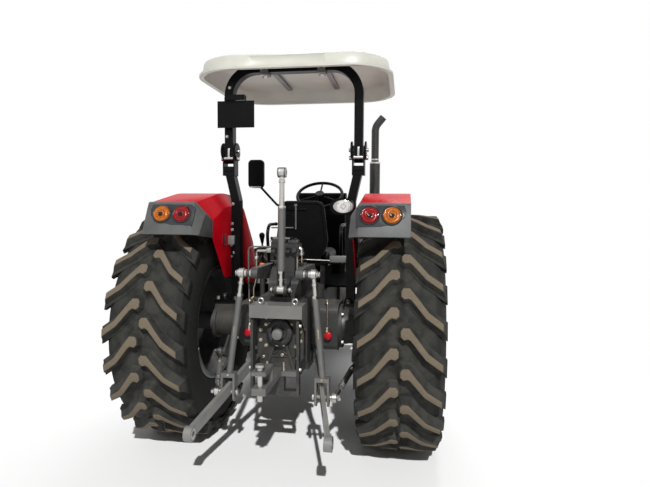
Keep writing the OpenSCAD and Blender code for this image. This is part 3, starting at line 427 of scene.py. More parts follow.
for material, names in NODE_FINISH.items():
    for name in names:
        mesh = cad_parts[name].data
        mesh.materials.clear()
        mesh.materials.append(material)


# Modelling


def rounded(bm, geom, offset, segments=2, affect="EDGES", **settings):
    """Rounds edges, or corners where they are what it affects."""
    bmesh.ops.bevel(bm, geom=geom, offset=offset, segments=segments, profile=0.5, material=-1, affect=affect,
                    **settings)


def raised(bm, face):
    """Extrudes a face and returns the new one."""
    return next(g for g in bmesh.ops.extrude_face_region(bm, geom=[face])["geom"]
                if isinstance(g, bmesh.types.BMFace))


def step_in(bm, face, steps, **settings):
    """Insets and lifts a face step by step, by thicknesses and depths."""
    for thickness, depth in steps:
        bm.normal_update()
        bmesh.ops.inset_region(bm, faces=[face], thickness=thickness, depth=depth,
                               use_even_offset=True, **settings)


def face_towards(bm, axis):
    """Turns all faces round where most of them look away from an axis."""
    bmesh.ops.recalc_face_normals(bm, faces=bm.faces)
    if sum(f.calc_area() * f.normal.dot(axis) for f in bm.faces) < 0:
        bmesh.ops.reverse_faces(bm, faces=bm.faces)


def spun(profile, steps=32, closed=False):
    """An outline of radius and height pairs, turned about Z."""
    bm = bmesh.new()
    verts = [bm.verts.new((r, 0, h)) for r, h in profile]
    edges = [bm.edges.new(pair) for pair in zip(verts, verts[1:])]
    if closed:
        edges.append(bm.edges.new((verts[-1], verts[0])))
    bmesh.ops.spin(bm, geom=verts + edges, cent=(0, 0, 0), axis=(0, 0, 1), angle=math.tau, steps=steps,
                   use_merge=True)
    bmesh.ops.remove_doubles(bm, verts=bm.verts, dist=1e-5)
    bmesh.ops.recalc_face_normals(bm, faces=bm.faces)
    return bm


def slab(outline, height, rim=0.0):
    """A flat outline in X and Y raised along Z, with its upper edge rounded by rim."""
    bm = bmesh.new()
    base = bm.faces.new([bm.verts.new((x, y, 0)) for x, y in outline])
    top = raised(bm, base)
    bmesh.ops.translate(bm, verts=top.verts[:], vec=(0, 0, height))
    bmesh.ops.recalc_face_normals(bm, faces=bm.faces)
    if rim:
        rounded(bm, top.edges[:], rim)
    return bm


def block(size, rim=0.003, segments=2):
    """A box about the origin with rounded edges."""
    bm = bmesh.new()
    bmesh.ops.create_cube(bm, size=1)
    bmesh.ops.scale(bm, vec=size, verts=bm.verts)
    rounded(bm, bm.edges[:], rim, segments)
    return bm


def pipe(points, radius, sides=10, bend=0.03):
    """A round pipe through points, with bends of a given radius at its corners."""
    path = rounded_path([(Vector(p), bend) for p in points], 5)
    bm = bmesh.new()
    heading = (path[1] - path[0]).normalized()
    spot = Matrix.Translation(path[0]) @ turn_to(heading)
    ring = bmesh.ops.create_circle(bm, cap_ends=True, segments=sides, radius=radius, matrix=spot)["verts"]
    face = ring[0].link_faces[0]
    for index in range(1, len(path)):
        onward = (path[min(index + 1, len(path) - 1)] - path[index - 1]).normalized()
        last, face = face, raised(bm, face)
        if index > 1:
            bmesh.ops.delete(bm, geom=[last], context="FACES_ONLY")
        swing = heading.rotation_difference(onward).to_matrix().to_4x4()
        move = Matrix.Translation(path[index]) @ swing @ Matrix.Translation(-path[index - 1])
        bmesh.ops.transform(bm, matrix=move, verts=face.verts[:])
        heading = onward
    bmesh.ops.recalc_face_normals(bm, faces=bm.faces)
    return bm


def rounded_path(points, steps):
    """A path through points and corner radii, with its corners as arcs."""
    path = [points[0][0]]
    for (before, _), (corner, radius), (after, _) in zip(points, points[1:], points[2:]):
        back, on = (before - corner).normalized(), (after - corner).normalized()
        half = back.angle(on) / 2
        if radius <= 0 or abs(half - math.pi / 2) < 1e-3:
            path.append(corner)
            continue
        centre = corner + (back + on).normalized() * (radius / math.sin(half))
        start = corner + back * (radius / math.tan(half)) - centre
        end = corner + on * (radius / math.tan(half)) - centre
        swing = start.rotation_difference(end)
        for step in range(steps + 1):
            part = swing.copy()
            part.angle = swing.angle * step / steps
            path.append(centre + part @ start)
    return path + [points[-1][0]]


class Piece:
    """A piece of the scene, joined from shapes and tied to a body of the frame."""

    def __init__(self, name, body, material, slot):
        self.name, self.body, self.material, self.slot = name, body, material, slot
        self.bm = bmesh.new()

    def join(self, shape):
        mesh = bpy.data.meshes.new("shape")
        shape.to_mesh(mesh)
        self.bm.from_mesh(mesh)
        bpy.data.meshes.remove(mesh)

    def add(self, shape, place=Matrix(), mirrored=False):
        """Joins a shape, moved to its place."""
        shape.transform(place)
        self.join(shape)
        if mirrored:
            bmesh.ops.scale(shape, vec=(-1, 1, 1), verts=shape.verts)
            bmesh.ops.reverse_faces(shape, faces=shape.faces)
            self.join(shape)
        shape.free()
        return self

    def pair(self, shape, place=Matrix()):
        """Joins a shape, moved to its place, and its mirror image on the other side."""
        return self.add(shape, place, True)

    def sleeves(self, place, *rows, mirrored=False):
        """Joins collars on one axis, each given as for sleeve."""
        for row in rows:
            self.add(sleeve(*row), place, mirrored)
        return self

    def done(self, sharp=35, replaces=(), modifiers=()):
        """Makes the object, ties it to its body and hides the nodes it replaces."""
        mesh = bpy.data.meshes.new(self.name)
        self.bm.to_mesh(mesh)
        self.bm.free()
        mesh.materials.append(self.material)
        mesh.shade_smooth()
        mesh.set_sharp_from_angle(angle=math.radians(sharp))
        piece = bpy.data.objects.new(self.name, mesh)
        bpy.context.scene.collection.objects.link(piece)
        for kind, settings in modifiers:
            modifier = piece.modifiers.new(kind.lower(), kind)
            for key, value in settings.items():
                setattr(modifier, key, value)
        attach(piece, self.body)
        if replaces:
            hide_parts(*replaces)
        return piece


def bolt(across, height):
    """A hexagon head on a washer, standing on the origin along Z."""
    bm = spun([(0, 0), (across * 0.62, 0), (across * 0.62, height * 0.2), (0, height * 0.2)], 12)
    head = bmesh.ops.create_cone(bm, cap_ends=True, segments=6, radius1=across / 2, radius2=across / 2,
                                 depth=height, matrix=up(height * 0.6))["verts"]
    crown = [e for e in bm.edges if all(v in head and v.co.z > height for v in e.verts)]
    rounded(bm, crown, across * 0.06, 1)
    return bm


def sleeve(radius, start, end, inner=0.0, rim=0.0015):
    """A turned collar along Z with broken edges, bored where it has an inner radius."""
    return spun([(inner, start), (radius - rim, start), (radius, start + rim), (radius, end - rim),
                 (radius - rim, end), (inner, end)], 28, closed=inner > 0)


def ring(radius, thickness):
    """A ring of round wire about Z."""
    return spun([(radius + thickness * math.cos(a), thickness * math.sin(a))
                 for a in (math.tau * i / 10 for i in range(10))], 28, closed=True)


def nut(across, height):
    """A hexagon nut along Z."""
    corner = across / math.sqrt(3)
    return slab([(corner * math.cos(a), corner * math.sin(a)) for a in (math.pi / 3 * i for i in range(6))],
                height, height * 0.12)


def oval(half_x, half_y, corner, steps=6):
    """The outline of a rectangle with round corners."""
    outline = []
    for index, (sx, sy) in enumerate(((1, 1), (-1, 1), (-1, -1), (1, -1))):
        for step in range(steps + 1):
            turn = math.pi / 2 * (index + step / steps)
            outline.append((sx * (half_x - corner) + corner * math.cos(turn),
                            sy * (half_y - corner) + corner * math.sin(turn)))
    return outline


# Tyres

# Half of the section width that the lug below is drawn for
LUG_HALF = 0.2335
# Face of a lug on one half of the tread, in millimetres: across from the middle, and round towards the rear
LUG = [(5, -13), (15, -28), (45, -28), (64, -4), (137, 92), (206, 143), (206, 179), (124, 120), (54, 33),
       (40, 24), (20, 29), (5, 15)]
# Planes across a lug that let it bend round the tyre, in millimetres from the middle
LUG_CUTS = (40, 65, 100, 135, 170)
# Side wall of a tyre: shares of its height and of the section's half width
WALL_SHAPE = [(0.2, 0.9), (0.34, 0.97), (0.5, 0.998), (0.68, 0.985), (0.82, 0.94), (0.92, 0.86),
              (0.975, 0.72)]


def mitre(a, b):
    """The step to the right of a corner between two headings, for a path that moves by 1."""
    right, onward = Vector((a.y, -a.x)), Vector((b.y, -b.x))
    middle = right + onward
    return middle / middle.dot(right)


def outset(points, distance):
    """A closed outline moved outwards, for points that turn counter-clockwise."""
    moved = []
    for before, here, after in zip(points[-1:] + points[:-1], points, points[1:] + points[:1]):
        a, b = (here - before).normalized(), (after - here).normalized()
        moved.append(here + mitre(a, b) * distance)
    return moved


def lug(scale, height):
    """One lug lying flat: a low foot, steep flanks and a rounded top edge, with its face at height 0."""
    bm = bmesh.new()
    outline = [Vector(p) * scale * 0.001 for p in LUG]
    foot, flank = 0.012 * scale, 0.015 * scale
    face = bm.faces.new([bm.verts.new((*p, -height * 1.6)) for p in outset(outline, foot + flank)])
    bm.normal_update()
    if face.normal.z < 0:
        face.normal_flip()
    step_in(bm, face, ((0.0005, height * 0.6), (foot, height * 0.2), (flank, height * 0.8)),
            use_boundary=True)
    rounded(bm, face.edges[:], 0.0035)
    for cut in LUG_CUTS:
        bmesh.ops.bisect_plane(bm, geom=bm.verts[:] + bm.edges[:] + bm.faces[:], dist=1e-6,
                               plane_co=(cut * 0.001 * scale, 0, 0), plane_no=(1, 0, 0))
    return bm


def tyre(name, node, body, material, centre, radius, half_width, seat, seat_half, count, height):
    """A tyre with staggered lugs: the carcass is spun, and flat lugs are wrapped round it."""
    piece = Piece(name, body, material, "tyre_rubber")
    base = radius - height
    bead = seat + 0.012
    wall = base - bead
    half = [(bead, seat_half), (bead + 0.016, seat_half + 0.004)]
    half += [(bead + wall * rise, half_width * width) for rise, width in WALL_SHAPE]
    half.append((base - 0.003, half_width * 0.4))
    profile = [(r, -w) for r, w in half] + [(base, 0)] + [(r, w) for r, w in reversed(half)]
    piece.add(spun(profile, 88, closed=True), Matrix.Translation(centre) @ turn_to(X_AXIS))
    lead = 0.11 * half_width / radius
    start = (math.pi / 2 - lead) % (math.tau / count)
    flat = lug(half_width / LUG_HALF, height)
    blank = bpy.data.meshes.new("lug")
    flat.to_mesh(blank)
    flat.free()
    for index in range(count * 2):
        side = -1 if index % 2 else 1
        shape = bmesh.new()
        shape.from_mesh(blank)
        for v in shape.verts:
            angle = v.co.y / radius + math.pi * index / count + start
            across = min(v.co.x, half_width * 0.985)
            reach = radius - CROWN * (across / half_width) ** 3 + v.co.z
            v.co = centre + Vector((side * across, -reach * math.cos(angle), -reach * math.sin(angle)))
        bmesh.ops.recalc_face_normals(shape, faces=shape.faces)
        piece.add(shape)
    bpy.data.meshes.remove(blank)
    return piece.done(replaces=(node,), sharp=28)


# Rubber, wheel centre, radius, the tyre's seat on the rim and its half width, lugs on a side and their height
TYRES = {"rear": (REAR_RUBBER, AXLE, REAR_R, 0.381, 0.191, 22, REAR_LUG),
         "front": (FRONT_RUBBER, FRONT, FRONT_R, 0.305, 0.128, 17, FRONT_LUG)}
for side in SIDES:
    for end, (material, hub, radius, *sizes) in TYRES.items():
        low, high = corners("%s_tyre_%s" % (end, side))
        tyre("%s_tread_%s" % (end, side), "%s_tyre_%s" % (end, side), "%s_wheel_%s" % (end, side), material,
             Vector((middle_of(low, high).x, hub.y, hub.z)), radius, (high.x - low.x) / 2, *sizes)


# Fenders, lamp housings and tail lamps

# Sheet metal: places across, depth of the chamfer, thickness, and the seam with the lamp housing
FENDER_IN, FENDER_OUT, CHAMFER_X = 0.455, 0.810, 0.510
CHAMFER_D, SHELL = 0.095, 0.008
SEAM_TOP, SEAM_SIDE, SEAM_LOW = (-0.480, 0.850), (-0.352, 0.735), (-0.352, 0.622)
HOUSING_LOW, HOUSING_TOP = (-0.612, 0.654), (-0.515, 0.853)


def right_of(path, distance):
    """An open path in a plane, moved to its right-hand side."""
    moved = []
    for index, here in enumerate(path):
        a = (here - path[index - 1]).normalized() if index else (path[1] - here).normalized()
        b = (path[index + 1] - here).normalized() if index < len(path) - 1 else a
        moved.append(here + mitre(a, b) * distance)
    return moved


def flat_path(points, steps):
    """A rounded path of two-dimensional points and corner radii."""
    return [p.to_2d() for p in rounded_path([(Vector((*p, 0)), r) for p, r in points], steps)]


def share_along(points, share):
    """The point at a share of the way through a list of points."""
    spot = share * (len(points) - 1)
    index = min(int(spot), len(points) - 2)
    return Vector(points[index]).lerp(Vector(points[index + 1]), spot - index)


def draw_on(bm, edges, places):
    """Extrudes a line of edges to a new line through the places, and returns the new line's edges."""
    drawn = bmesh.ops.extrude_edge_only(bm, edges=edges)["geom"]
    fresh = [g for g in drawn if isinstance(g, bmesh.types.BMVert)]
    bm.verts.index_update()
    for vert, place in zip(sorted(fresh, key=lambda v: v.index), places):
        vert.co = place
    return [g for g in drawn if isinstance(g, bmesh.types.BMEdge) and all(v in fresh for v in g.verts)]


def wire(bm, places):
    verts = [bm.verts.new(p) for p in places]
    return [bm.edges.new(pair) for pair in zip(verts, verts[1:])]


def shell(top, side, low, edge):
    """A fender's sheet: a wire along its top line, drawn out and then down chamfer and panel."""
    bm = bmesh.new()
    line = wire(bm, [at(CHAMFER_X, *p) for p in top])
    last = len(top) - 1
    outer = draw_on(bm, line, [at(FENDER_OUT, *p) for p in top])
    if edge:
        draw_on(bm, outer, [at(FENDER_OUT - 0.004, *p) for p in right_of(top, edge)])
    panel = draw_on(bm, line, [at(FENDER_IN, *p) for p in side])
    draw_on(bm, panel, [at(FENDER_IN, *share_along(low, i / last)) for i in range(last + 1)])
    return bm


FENDER_TOP = flat_path([(SEAM_TOP, 0), ((-0.06, 0.925), 0.9), ((0.34, 0.905), 0.15), ((0.61, 0.60), 0)], 14)
FENDER_SIDE = [Vector(SEAM_SIDE)] + right_of(FENDER_TOP, CHAMFER_D)[1:]
FENDER_FOOT = [SEAM_LOW, (-0.13, 0.335), (0, 0.322), (0.2, 0.3), (0.425, 0.205), (0.69, 0.205)]
HOUSING_REAR = flat_path([(HOUSING_LOW, 0), (HOUSING_TOP, 0.03), (SEAM_TOP, 0)], 6)
HOUSING_SIDE = flat_path([((-0.590, 0.650), 0), ((-0.470, 0.778), 0.03), (SEAM_SIDE, 0)], 6)
HOUSING_FOOT = [(-0.586, 0.646), SEAM_LOW]
WALL = [("SOLIDIFY", {"thickness": SHELL, "offset": -1.0}),
        ("BEVEL", {"width": 0.0035, "segments": 2, "limit_method": "ANGLE", "angle_limit": math.radians(24)})]

for side, sign in SIDES.items():
    skin = shell(FENDER_TOP, FENDER_SIDE, FENDER_FOOT, 0.02)
    if sign < 0:
        bmesh.ops.scale(skin, vec=(-1, 1, 1), verts=skin.verts)
    face_towards(skin, Z_AXIS)
    Piece("fender_skin_" + side, "chassis", RED, "paint_red").add(skin).done(
        replaces=("fender_" + side,), modifiers=WALL)

housing = Piece("lamp_housing_skins", "chassis", HOUSING, "shell_grey")
skin = shell(HOUSING_REAR, HOUSING_SIDE, HOUSING_FOOT, 0.0)
face_towards(skin, -Y_AXIS)
housing.pair(skin)
housing.done(replaces=("lamp_housings",), modifiers=WALL)

# The rear face of a housing leans forward: its frame has X across, Y up the face and Z outwards
FACE_UP = Vector((0, HOUSING_TOP[0] - HOUSING_LOW[0], HOUSING_TOP[1] - HOUSING_LOW[1])).normalized()
FACE_OUT = X_AXIS.cross(FACE_UP)
FACE = Matrix((X_AXIS, FACE_UP, FACE_OUT)).transposed().to_4x4()
# Height of the lamps up the face
LAMP_UP = 0.134


def on_face(x, up, out):
    """A place on the right housing's rear face, turned to stand on it."""
    spot = at(x, *HOUSING_LOW) + FACE_UP * up + FACE_OUT * out
    return Matrix.Translation(spot) @ FACE


PANEL = [(-0.140, -0.075), (0.0, -0.07), (0.09, -0.048), (0.137, -0.01), (0.145, 0.03), (0.135, 0.066),
         (-0.115, 0.066), (-0.145, 0.045)]
lamp_panel = Piece("lamp_panels", "chassis", BEZEL, "black_plastic")
lamp_panel.pair(slab(PANEL, 0.004, 0.0015), on_face((AMBER_X + RED_X) / 2, LAMP_UP, -0.001))
for x in (AMBER_X, RED_X):
    lamp_panel.pair(spun([(LAMP_R - 0.004, 0), (LAMP_R + 0.004, 0), (LAMP_R + 0.004, 0.008), (LAMP_R, 0.011),
                         (LAMP_R - 0.004, 0.008)], 48, closed=True), on_face(x, LAMP_UP, 0.002))
lamp_panel.done()

LENS = [(0, 0.026), (0.013, 0.026), (0.016, 0.022), (0.026, 0.021), (0.029, 0.023), (0.032, 0.021),
        (0.044, 0.018), (0.047, 0.0195), (0.05, 0.016), (LAMP_R - 0.003, 0.010), (LAMP_R - 0.002, 0.0)]
for name, node, material, slot, x in (("amber_lenses", "lamps_amber", AMBER, "lens_amber", AMBER_X),
                                      ("red_lenses", "lamps_red", RED_LENS, "lens_red", RED_X)):
    Piece(name, "chassis", material, slot).pair(spun(LENS, 48), on_face(x, LAMP_UP, 0.002)).done(
        replaces=(node,), sharp=50)
screws = Piece("lamp_screws", "chassis", ZINC, "zinc")
for x in (AMBER_X, RED_X):
    for turn in (-1, 1):
        screws.pair(spun([(0, 0.0035), (0.003, 0.003), (0.0045, 0.001), (0.0045, -0.004)], 12),
                   on_face(x + turn * (LAMP_R - 0.009), LAMP_UP, 0.016))
screws.done()

# Canopy

CANOPY_LOW, CANOPY_HIGH = corners("canopy")
CANOPY_CORNER, CANOPY_LIP, SHOULDER = 0.30, 0.014, 0.105
CANOPY_CROWN = CANOPY_HIGH.z - CANOPY_LOW.z - SHOULDER
# Insets and lifts of the upper face from the lip to the crown, and of the lower face up into the hollow
ROOF_STEPS = [(0.020, 0.003), (0.013, SHOULDER - 0.035), (0.012, 0.012), (0.018, 0.008),
              (0.03, CANOPY_CROWN * 0.25), (0.07, CANOPY_CROWN * 0.4), (0.10, CANOPY_CROWN * 0.2)]
HOLLOW_STEPS = [(0.034, 0.0), (0.016, -0.075), (0.022, -0.022), (0.03, -0.006), (0.16, -0.004)]
# Half width of the recess in the rear wall
RECESS_HALF = 0.31


def canopy_skin():
    """A moulded roof: a flat plate with round corners, whose faces are inset and raised step by step."""
    bm = bmesh.new()
    half, middle = (CANOPY_HIGH - CANOPY_LOW) / 2, middle_of(CANOPY_LOW, CANOPY_HIGH)
    bm.faces.new([bm.verts.new((middle.x + sx * half.x, middle.y + sy * half.y, CANOPY_LOW.z))
                  for sx, sy in ((-1, -1), (1, -1), (1, 1), (-1, 1))])
    rounded(bm, bm.verts[:], CANOPY_CORNER, 10, "VERTICES", offset_type="OFFSET")
    bmesh.ops.subdivide_edges(bm, edges=[e for e in bm.edges if e.calc_length() > 0.2], cuts=5)
    top = raised(bm, bm.faces[:][0])
    bmesh.ops.translate(bm, verts=top.verts[:], vec=(0, 0, CANOPY_LIP))
    bmesh.ops.recalc_face_normals(bm, faces=bm.faces)
    bottom = next(f for f in bm.faces if f.normal.z < -0.9)
    step_in(bm, top, ROOF_STEPS)
    step_in(bm, bottom, HOLLOW_STEPS)
    bm.normal_update()
    wall = [f for f in bm.faces if f.normal.y < -0.9 and abs(f.calc_center_median().x) < RECESS_HALF
            and f.calc_area() > 0.004 and f.calc_center_median().y < middle.y]
    bmesh.ops.inset_region(bm, faces=wall, thickness=0.012, depth=-0.007, use_even_offset=True)
    return bm


Piece("canopy_skin", "roll_hoop", CANOPY, "canopy_plastic").add(canopy_skin()).done(
    replaces=("canopy",), sharp=40)

# Plated ends and pins of the linkage

# Pins seen from the side, and places across of the rods, links and braces
ARM_END, LINK_ROD = (-0.450, 0.410), (-0.510, -0.330)
LINK_FRONT, LINK_REAR = (-0.150, -0.180), (-0.890, -0.440)
TOP_PIN = (-0.360, 0.295)
ROD_TOP_X, LINK_ROD_X, LINK_REAR_X = 0.228, 0.295, 0.390
BRACE_FRONT_X, BRACE_REAR_X = 0.484, 0.370


for side, sign in SIDES.items():
    outward = X_AXIS * sign
    rod_top, rod_low = at(sign * ROD_TOP_X, *ARM_END), at(sign * LINK_ROD_X, *LINK_ROD)
    neck, crown = rod_top + (rod_low - rod_top).normalized() * 0.024, rod_low + Vector((0, 0.008, 0.118))
    on_rod = upon(neck, crown)
    plated = Piece("lift_rod_plating_" + side, "lift_rod_" + side, ZINC, "zinc")
    plated.sleeves(upon(rod_top, rod_top + outward), (0.0315, -0.017, 0.017, 0.0147))
    plated.sleeves(on_rod, (0.0155, 0.0, 0.13), (0.0205, 0.030, 0.048))
    plated.add(nut(0.038, 0.018), on_rod @ up(0.106)).done()
    slot = Piece("lift_rod_slot_" + side, "lift_rod_" + side, GOLD, "zinc")
    slot.add(block((0.009, 0.006, 0.060), 0.0025),
             Matrix.Translation(neck.lerp(crown, 0.56) - Y_AXIS * 0.0195)
             @ turn_to((crown - neck).normalized()))
    slot.add(sleeve(0.006, 0.0, 0.006), Matrix.Translation(crown + Vector((0, -0.032, -0.006))) @ REAR).done()

    link = Piece("lower_link_plating_" + side, "lower_link_" + side, ZINC, "zinc")
    link.add(spun([(0.0147, -0.0222), (0.024, -0.0232), (0.031, -0.0228), (0.031, 0.0228), (0.024, 0.0232),
                   (0.0147, 0.0222)], 32, closed=True), put(sign * LINK_REAR_X, *LINK_REAR) @ OUT[sign])
    on_pin = put(0, *LINK_ROD) @ OUT[sign]
    link.sleeves(on_pin, (0.0212, 0.234, 0.2465), (0.0195, 0.3435, 0.3555))
    link.add(nut(0.032, 0.016), on_pin @ up(0.3935))
    front, rear = at(sign * BRACE_FRONT_X, *LINK_FRONT), at(sign * BRACE_REAR_X, *LINK_ROD)
    for a, b, reach in ((front, rear, 0.112), (rear, front, 0.092)):
        link.sleeves(upon(a, a + outward), (0.0285, -0.0145, 0.0145, 0.0124))
        link.sleeves(upon(a, b), (0.0138, 0.022, reach))
        link.add(nut(0.032, 0.012), upon(a, b) @ up(reach - 0.012))
        for step in (0.016, 0.03):
            link.add(ring(0.019, 0.0025), upon(a, b) @ up(reach + step))
    link.done()

arm = Piece("lift_arm_plating", "rockshaft", ZINC, "zinc")
on_arm = put(0, *ARM_END) @ OUT[1]
arm.sleeves(on_arm, (0.0245, 0.1645, 0.176), (0.0235, 0.196, 0.2095), (0.0232, 0.2465, 0.2545), mirrored=True)
arm.pair(nut(0.028, 0.014), on_arm @ up(0.254))
arm.pair(ring(0.018, 0.0022), on_arm @ up(0.265)).done()

# The top link leans to the front, and its length runs along Z
LEAN = put(0, *TOP_PIN) @ Matrix.Rotation(math.radians(-2), 4, "X")
ACROSS = Matrix.Rotation(math.pi / 2, 4, "Y")
TOP_LINK_L = 0.748
top_end = Piece("top_link_plating", "top_link", ZINC, "zinc")
top_end.sleeves(LEAN @ ACROSS, (0.0292, -0.0232, 0.0232, 0.0129))
top_end.sleeves(LEAN, (0.0165, 0.024, 0.122), (0.021, 0.058, 0.07), (0.0165, 0.518, TOP_LINK_L - 0.025),
                (0.021, TOP_LINK_L - 0.066, TOP_LINK_L - 0.046))
top_end.add(nut(0.044, 0.016), LEAN @ up(0.106))
top_end.add(nut(0.044, 0.018), LEAN @ up(0.518))
top_end.add(spun([(0.0131, -0.0258), (0.020, -0.0262), (0.026, -0.0252), (0.033, -0.016), (0.033, 0.016),
                  (0.026, 0.0252), (0.020, 0.0262), (0.0131, 0.0258)], 32, closed=True),
            LEAN @ up(TOP_LINK_L) @ ACROSS).done()
bar_end = Piece("top_link_bar_ends", "top_link", BLACK, "black_paint")
for sign in SIDES.values():
    bar_end.add(sleeve(0.0095, 0.056, 0.0705), LEAN @ up(0.33) @ OUT[sign])
bar_end.done()

# Rear cover, shaft guard and drawbar

COVER_Y = -0.370
COVER_BOLTS = [(-0.095, 0.118), (0.052, 0.122), (-0.095, 0.072), (-0.068, 0.073), (0.068, 0.073),
               (-0.130, 0.035), (0.132, 0.035), (-0.131, -0.030), (0.132, -0.028), (-0.095, -0.064),
               (0.098, -0.064), (-0.024, -0.056), (0.024, -0.056), (-0.064, -0.125), (0.012, -0.123),
               (-0.112, -0.140), (0.110, -0.140)]
cover_bolts = Piece("cover_bolts", "chassis", GOLD, "zinc")
for x, z in COVER_BOLTS:
    cover_bolts.add(bolt(0.019, 0.012), put(x, COVER_Y, z) @ REAR)
cover_bolts.done()

SHAFT_END = put(0, -0.460, 0.030) @ REAR
Piece("shaft_cap", "chassis", SHIELD, "link_grey").add(
    spun([(0, 0.017), (0.022, 0.0165), (0.031, 0.013), (0.0345, 0.006), (0.0345, -0.018), (0.031, -0.024),
          (0, -0.024)], 40), SHAFT_END).done()
RIB_Y = COVER_Y - 0.004
dish = Piece("shaft_dish", "chassis", CAST, "casting")
dish.add(spun([(0.046, -0.058), (0.052, -0.042), (0.066, -0.038), (0.082, -0.046), (0.086, -0.062),
               (0.08, -0.092), (0.046, -0.092)], 48, closed=True), SHAFT_END)
dish.add(pipe([at(x, RIB_Y, z) for x, z in ((-0.098, -0.059), (-0.070, -0.130), (0.090, -0.130),
                                            (0.115, -0.100))],
              0.0055, bend=0.018))
for sign in SIDES.values():
    dish.add(pipe([at(sign * x, RIB_Y, z) for x, z in ((0.052, -0.05), (0.014, -0.096), (0.05, -0.118))],
                  0.006, bend=0.01))
dish.done()

pins = Piece("drawbar_pins", "chassis", ZINC, "zinc")
DRAWBAR_PIN = put(0, -0.838, 0)
pins.sleeves(DRAWBAR_PIN, (0.0158, -0.1715, -0.1025), (0.0275, -0.0605, -0.0445, 0.0, 0.004),
             (0.017, -0.079, -0.0605), (0.0175, -0.2505, -0.2115))
for sign in SIDES.values():
    pins.sleeves(put(sign * 0.052, -0.5, 0), (0.0075, -0.181, -0.127), (0.011, -0.181, -0.172))
    pins.add(ring(0.016, 0.0055), put(sign * 0.110, -0.440, 0.236) @ UPRIGHT)
    pins.sleeves(put(0, *TOP_PIN) @ OUT[sign], (0.020, 0.0525, 0.0635))
    pins.add(ring(0.017, 0.002), put(sign * 0.066, *TOP_PIN) @ OUT[sign])
    for z in (0.10, -0.17):
        pins.add(bolt(0.022, 0.012), put(sign * 0.152, -0.505, z) @ OUT[sign])
    for x in (0.402, 0.530):
        for y in (-0.066, 0.066):
            pins.add(bolt(0.030, 0.020), put(sign * x, y, 0.172))
    pins.add(bolt(0.026, 0.014), put(sign * 0.5085, *LINK_FRONT) @ OUT[sign])
    for y in (-0.11, 0.11):
        for z in (-0.09, 0.1):
            pins.add(bolt(0.022, 0.012), put(sign * 0.362, y, z) @ OUT[sign])
pins.done()

# Hydraulic fittings

BRAKE_X, UNION_X, UNION_Y = 0.278, 0.270, -0.163
Piece("brake_caps", "chassis", RED_PLASTIC, "paint_red").pair(
    spun([(0, 0.017), (0.019, 0.016), (0.0255, 0.011), (0.027, 0.004), (0.027, -0.006), (0, -0.006)], 24),
    put(BRAKE_X, -0.172, -0.035) @ REAR).done()
brass = Piece("brake_unions", "chassis", GOLD, "zinc")
brass.pair(nut(0.024, 0.014), put(UNION_X, UNION_Y, -0.012))
brass.pair(nut(0.018, 0.016), put(UNION_X, UNION_Y, 0.004))
brass.pair(pipe([at(UNION_X, UNION_Y, 0.012), at(UNION_X, UNION_Y, 0.19), at(0.258, -0.12, 0.20),
                 at(0.248, -0.06, 0.162)], 0.0048, bend=0.02)).done()

# The pipes on the left pass in front of the raised lift arm
PIPE_X, PIPE_Y, PIPE_Z = -0.232, -0.116, 0.524
ELBOW_X, ELBOW_Y = 0.102, -0.205
fittings = Piece("valve_fittings", "chassis", ZINC, "zinc")
fittings.add(pipe([at(x, ELBOW_Y, z) for x, z in ((0.080, 0.552), (ELBOW_X, 0.552), (ELBOW_X, 0.505))],
                  0.0135, 14, bend=0.018))
fittings.sleeves(put(0.084, ELBOW_Y, 0.552) @ OUT[1], (0.0185, -0.006, 0.006))
fittings.sleeves(put(ELBOW_X, ELBOW_Y, 0.516), (0.0175, -0.010, 0.008))
fittings.add(pipe([at(-0.080, -0.150, PIPE_Z), at(-0.080, PIPE_Y, PIPE_Z), at(PIPE_X, PIPE_Y, PIPE_Z),
                   at(PIPE_X, PIPE_Y, 0.470)], 0.0095, 14, bend=0.014))
fittings.add(block((0.042, 0.034, 0.032), 0.004), put(-0.140, PIPE_Y, 0.5285))
fittings.add(nut(0.030, 0.018), put(PIPE_X, PIPE_Y, 0.468))
for x, z in ((-0.095, 0.605), (-0.062, 0.612)):
    fittings.sleeves(put(x, -0.215, z), (0.0095, -0.03, 0.014))
    fittings.add(nut(0.026, 0.010), put(x, -0.215, z - 0.012))
fittings.add(pipe([at(0.270, -0.030, 0.458), at(0.098, -0.030, 0.462), at(0.060, -0.160, 0.464)],
                  0.0042, bend=0.02))
fittings.done()
lines = Piece("hydraulic_pipes", "chassis", GOLD, "zinc")
lines.add(pipe([at(0.104, ELBOW_Y, 0.508), at(0.104, ELBOW_Y, 0.455), at(0.092, -0.140, 0.425)],
               0.0058, bend=0.025))
lines.add(pipe([at(PIPE_X, PIPE_Y, 0.470), at(PIPE_X, PIPE_Y, 0.340), at(-0.255, -0.110, 0.260),
                at(-0.255, -0.110, 0.155)], 0.0058, bend=0.03))
lines.add(pipe([at(0.075, -0.215, 0.502), at(0.075, -0.215, 0.372)], 0.0065)).done()
grey_line = Piece("return_pipe", "chassis", LINK, "link_grey")
grey_line.add(pipe([at(-0.098, -0.165, 0.556), at(-0.275, -0.165, 0.556), at(-0.275, -0.165, 0.330),
                    at(-0.292, -0.10, 0.250), at(-0.292, -0.10, 0.155)], 0.0058, bend=0.03))
grey_line.add(block((0.116, 0.034, 0.044), 0.003), put(0.323, -0.020, 0.469)).done()
FILLER = (-0.253, 0.100)
spool = Piece("valve_spools", "chassis", CAST, "casting")
spool.add(block((0.086, 0.088, 0.050), 0.007), put(-0.057, -0.185, 0.600))
spool.add(block((0.070, 0.060, 0.032), 0.006), put(0.045, -0.190, 0.592))
spool.sleeves(put(*FILLER, 0.160), (0.019, 0.0, 0.235))
for x in (0.03, 0.062):
    spool.add(bolt(0.02, 0.012), put(x, -0.21, 0.607))
spool.done()
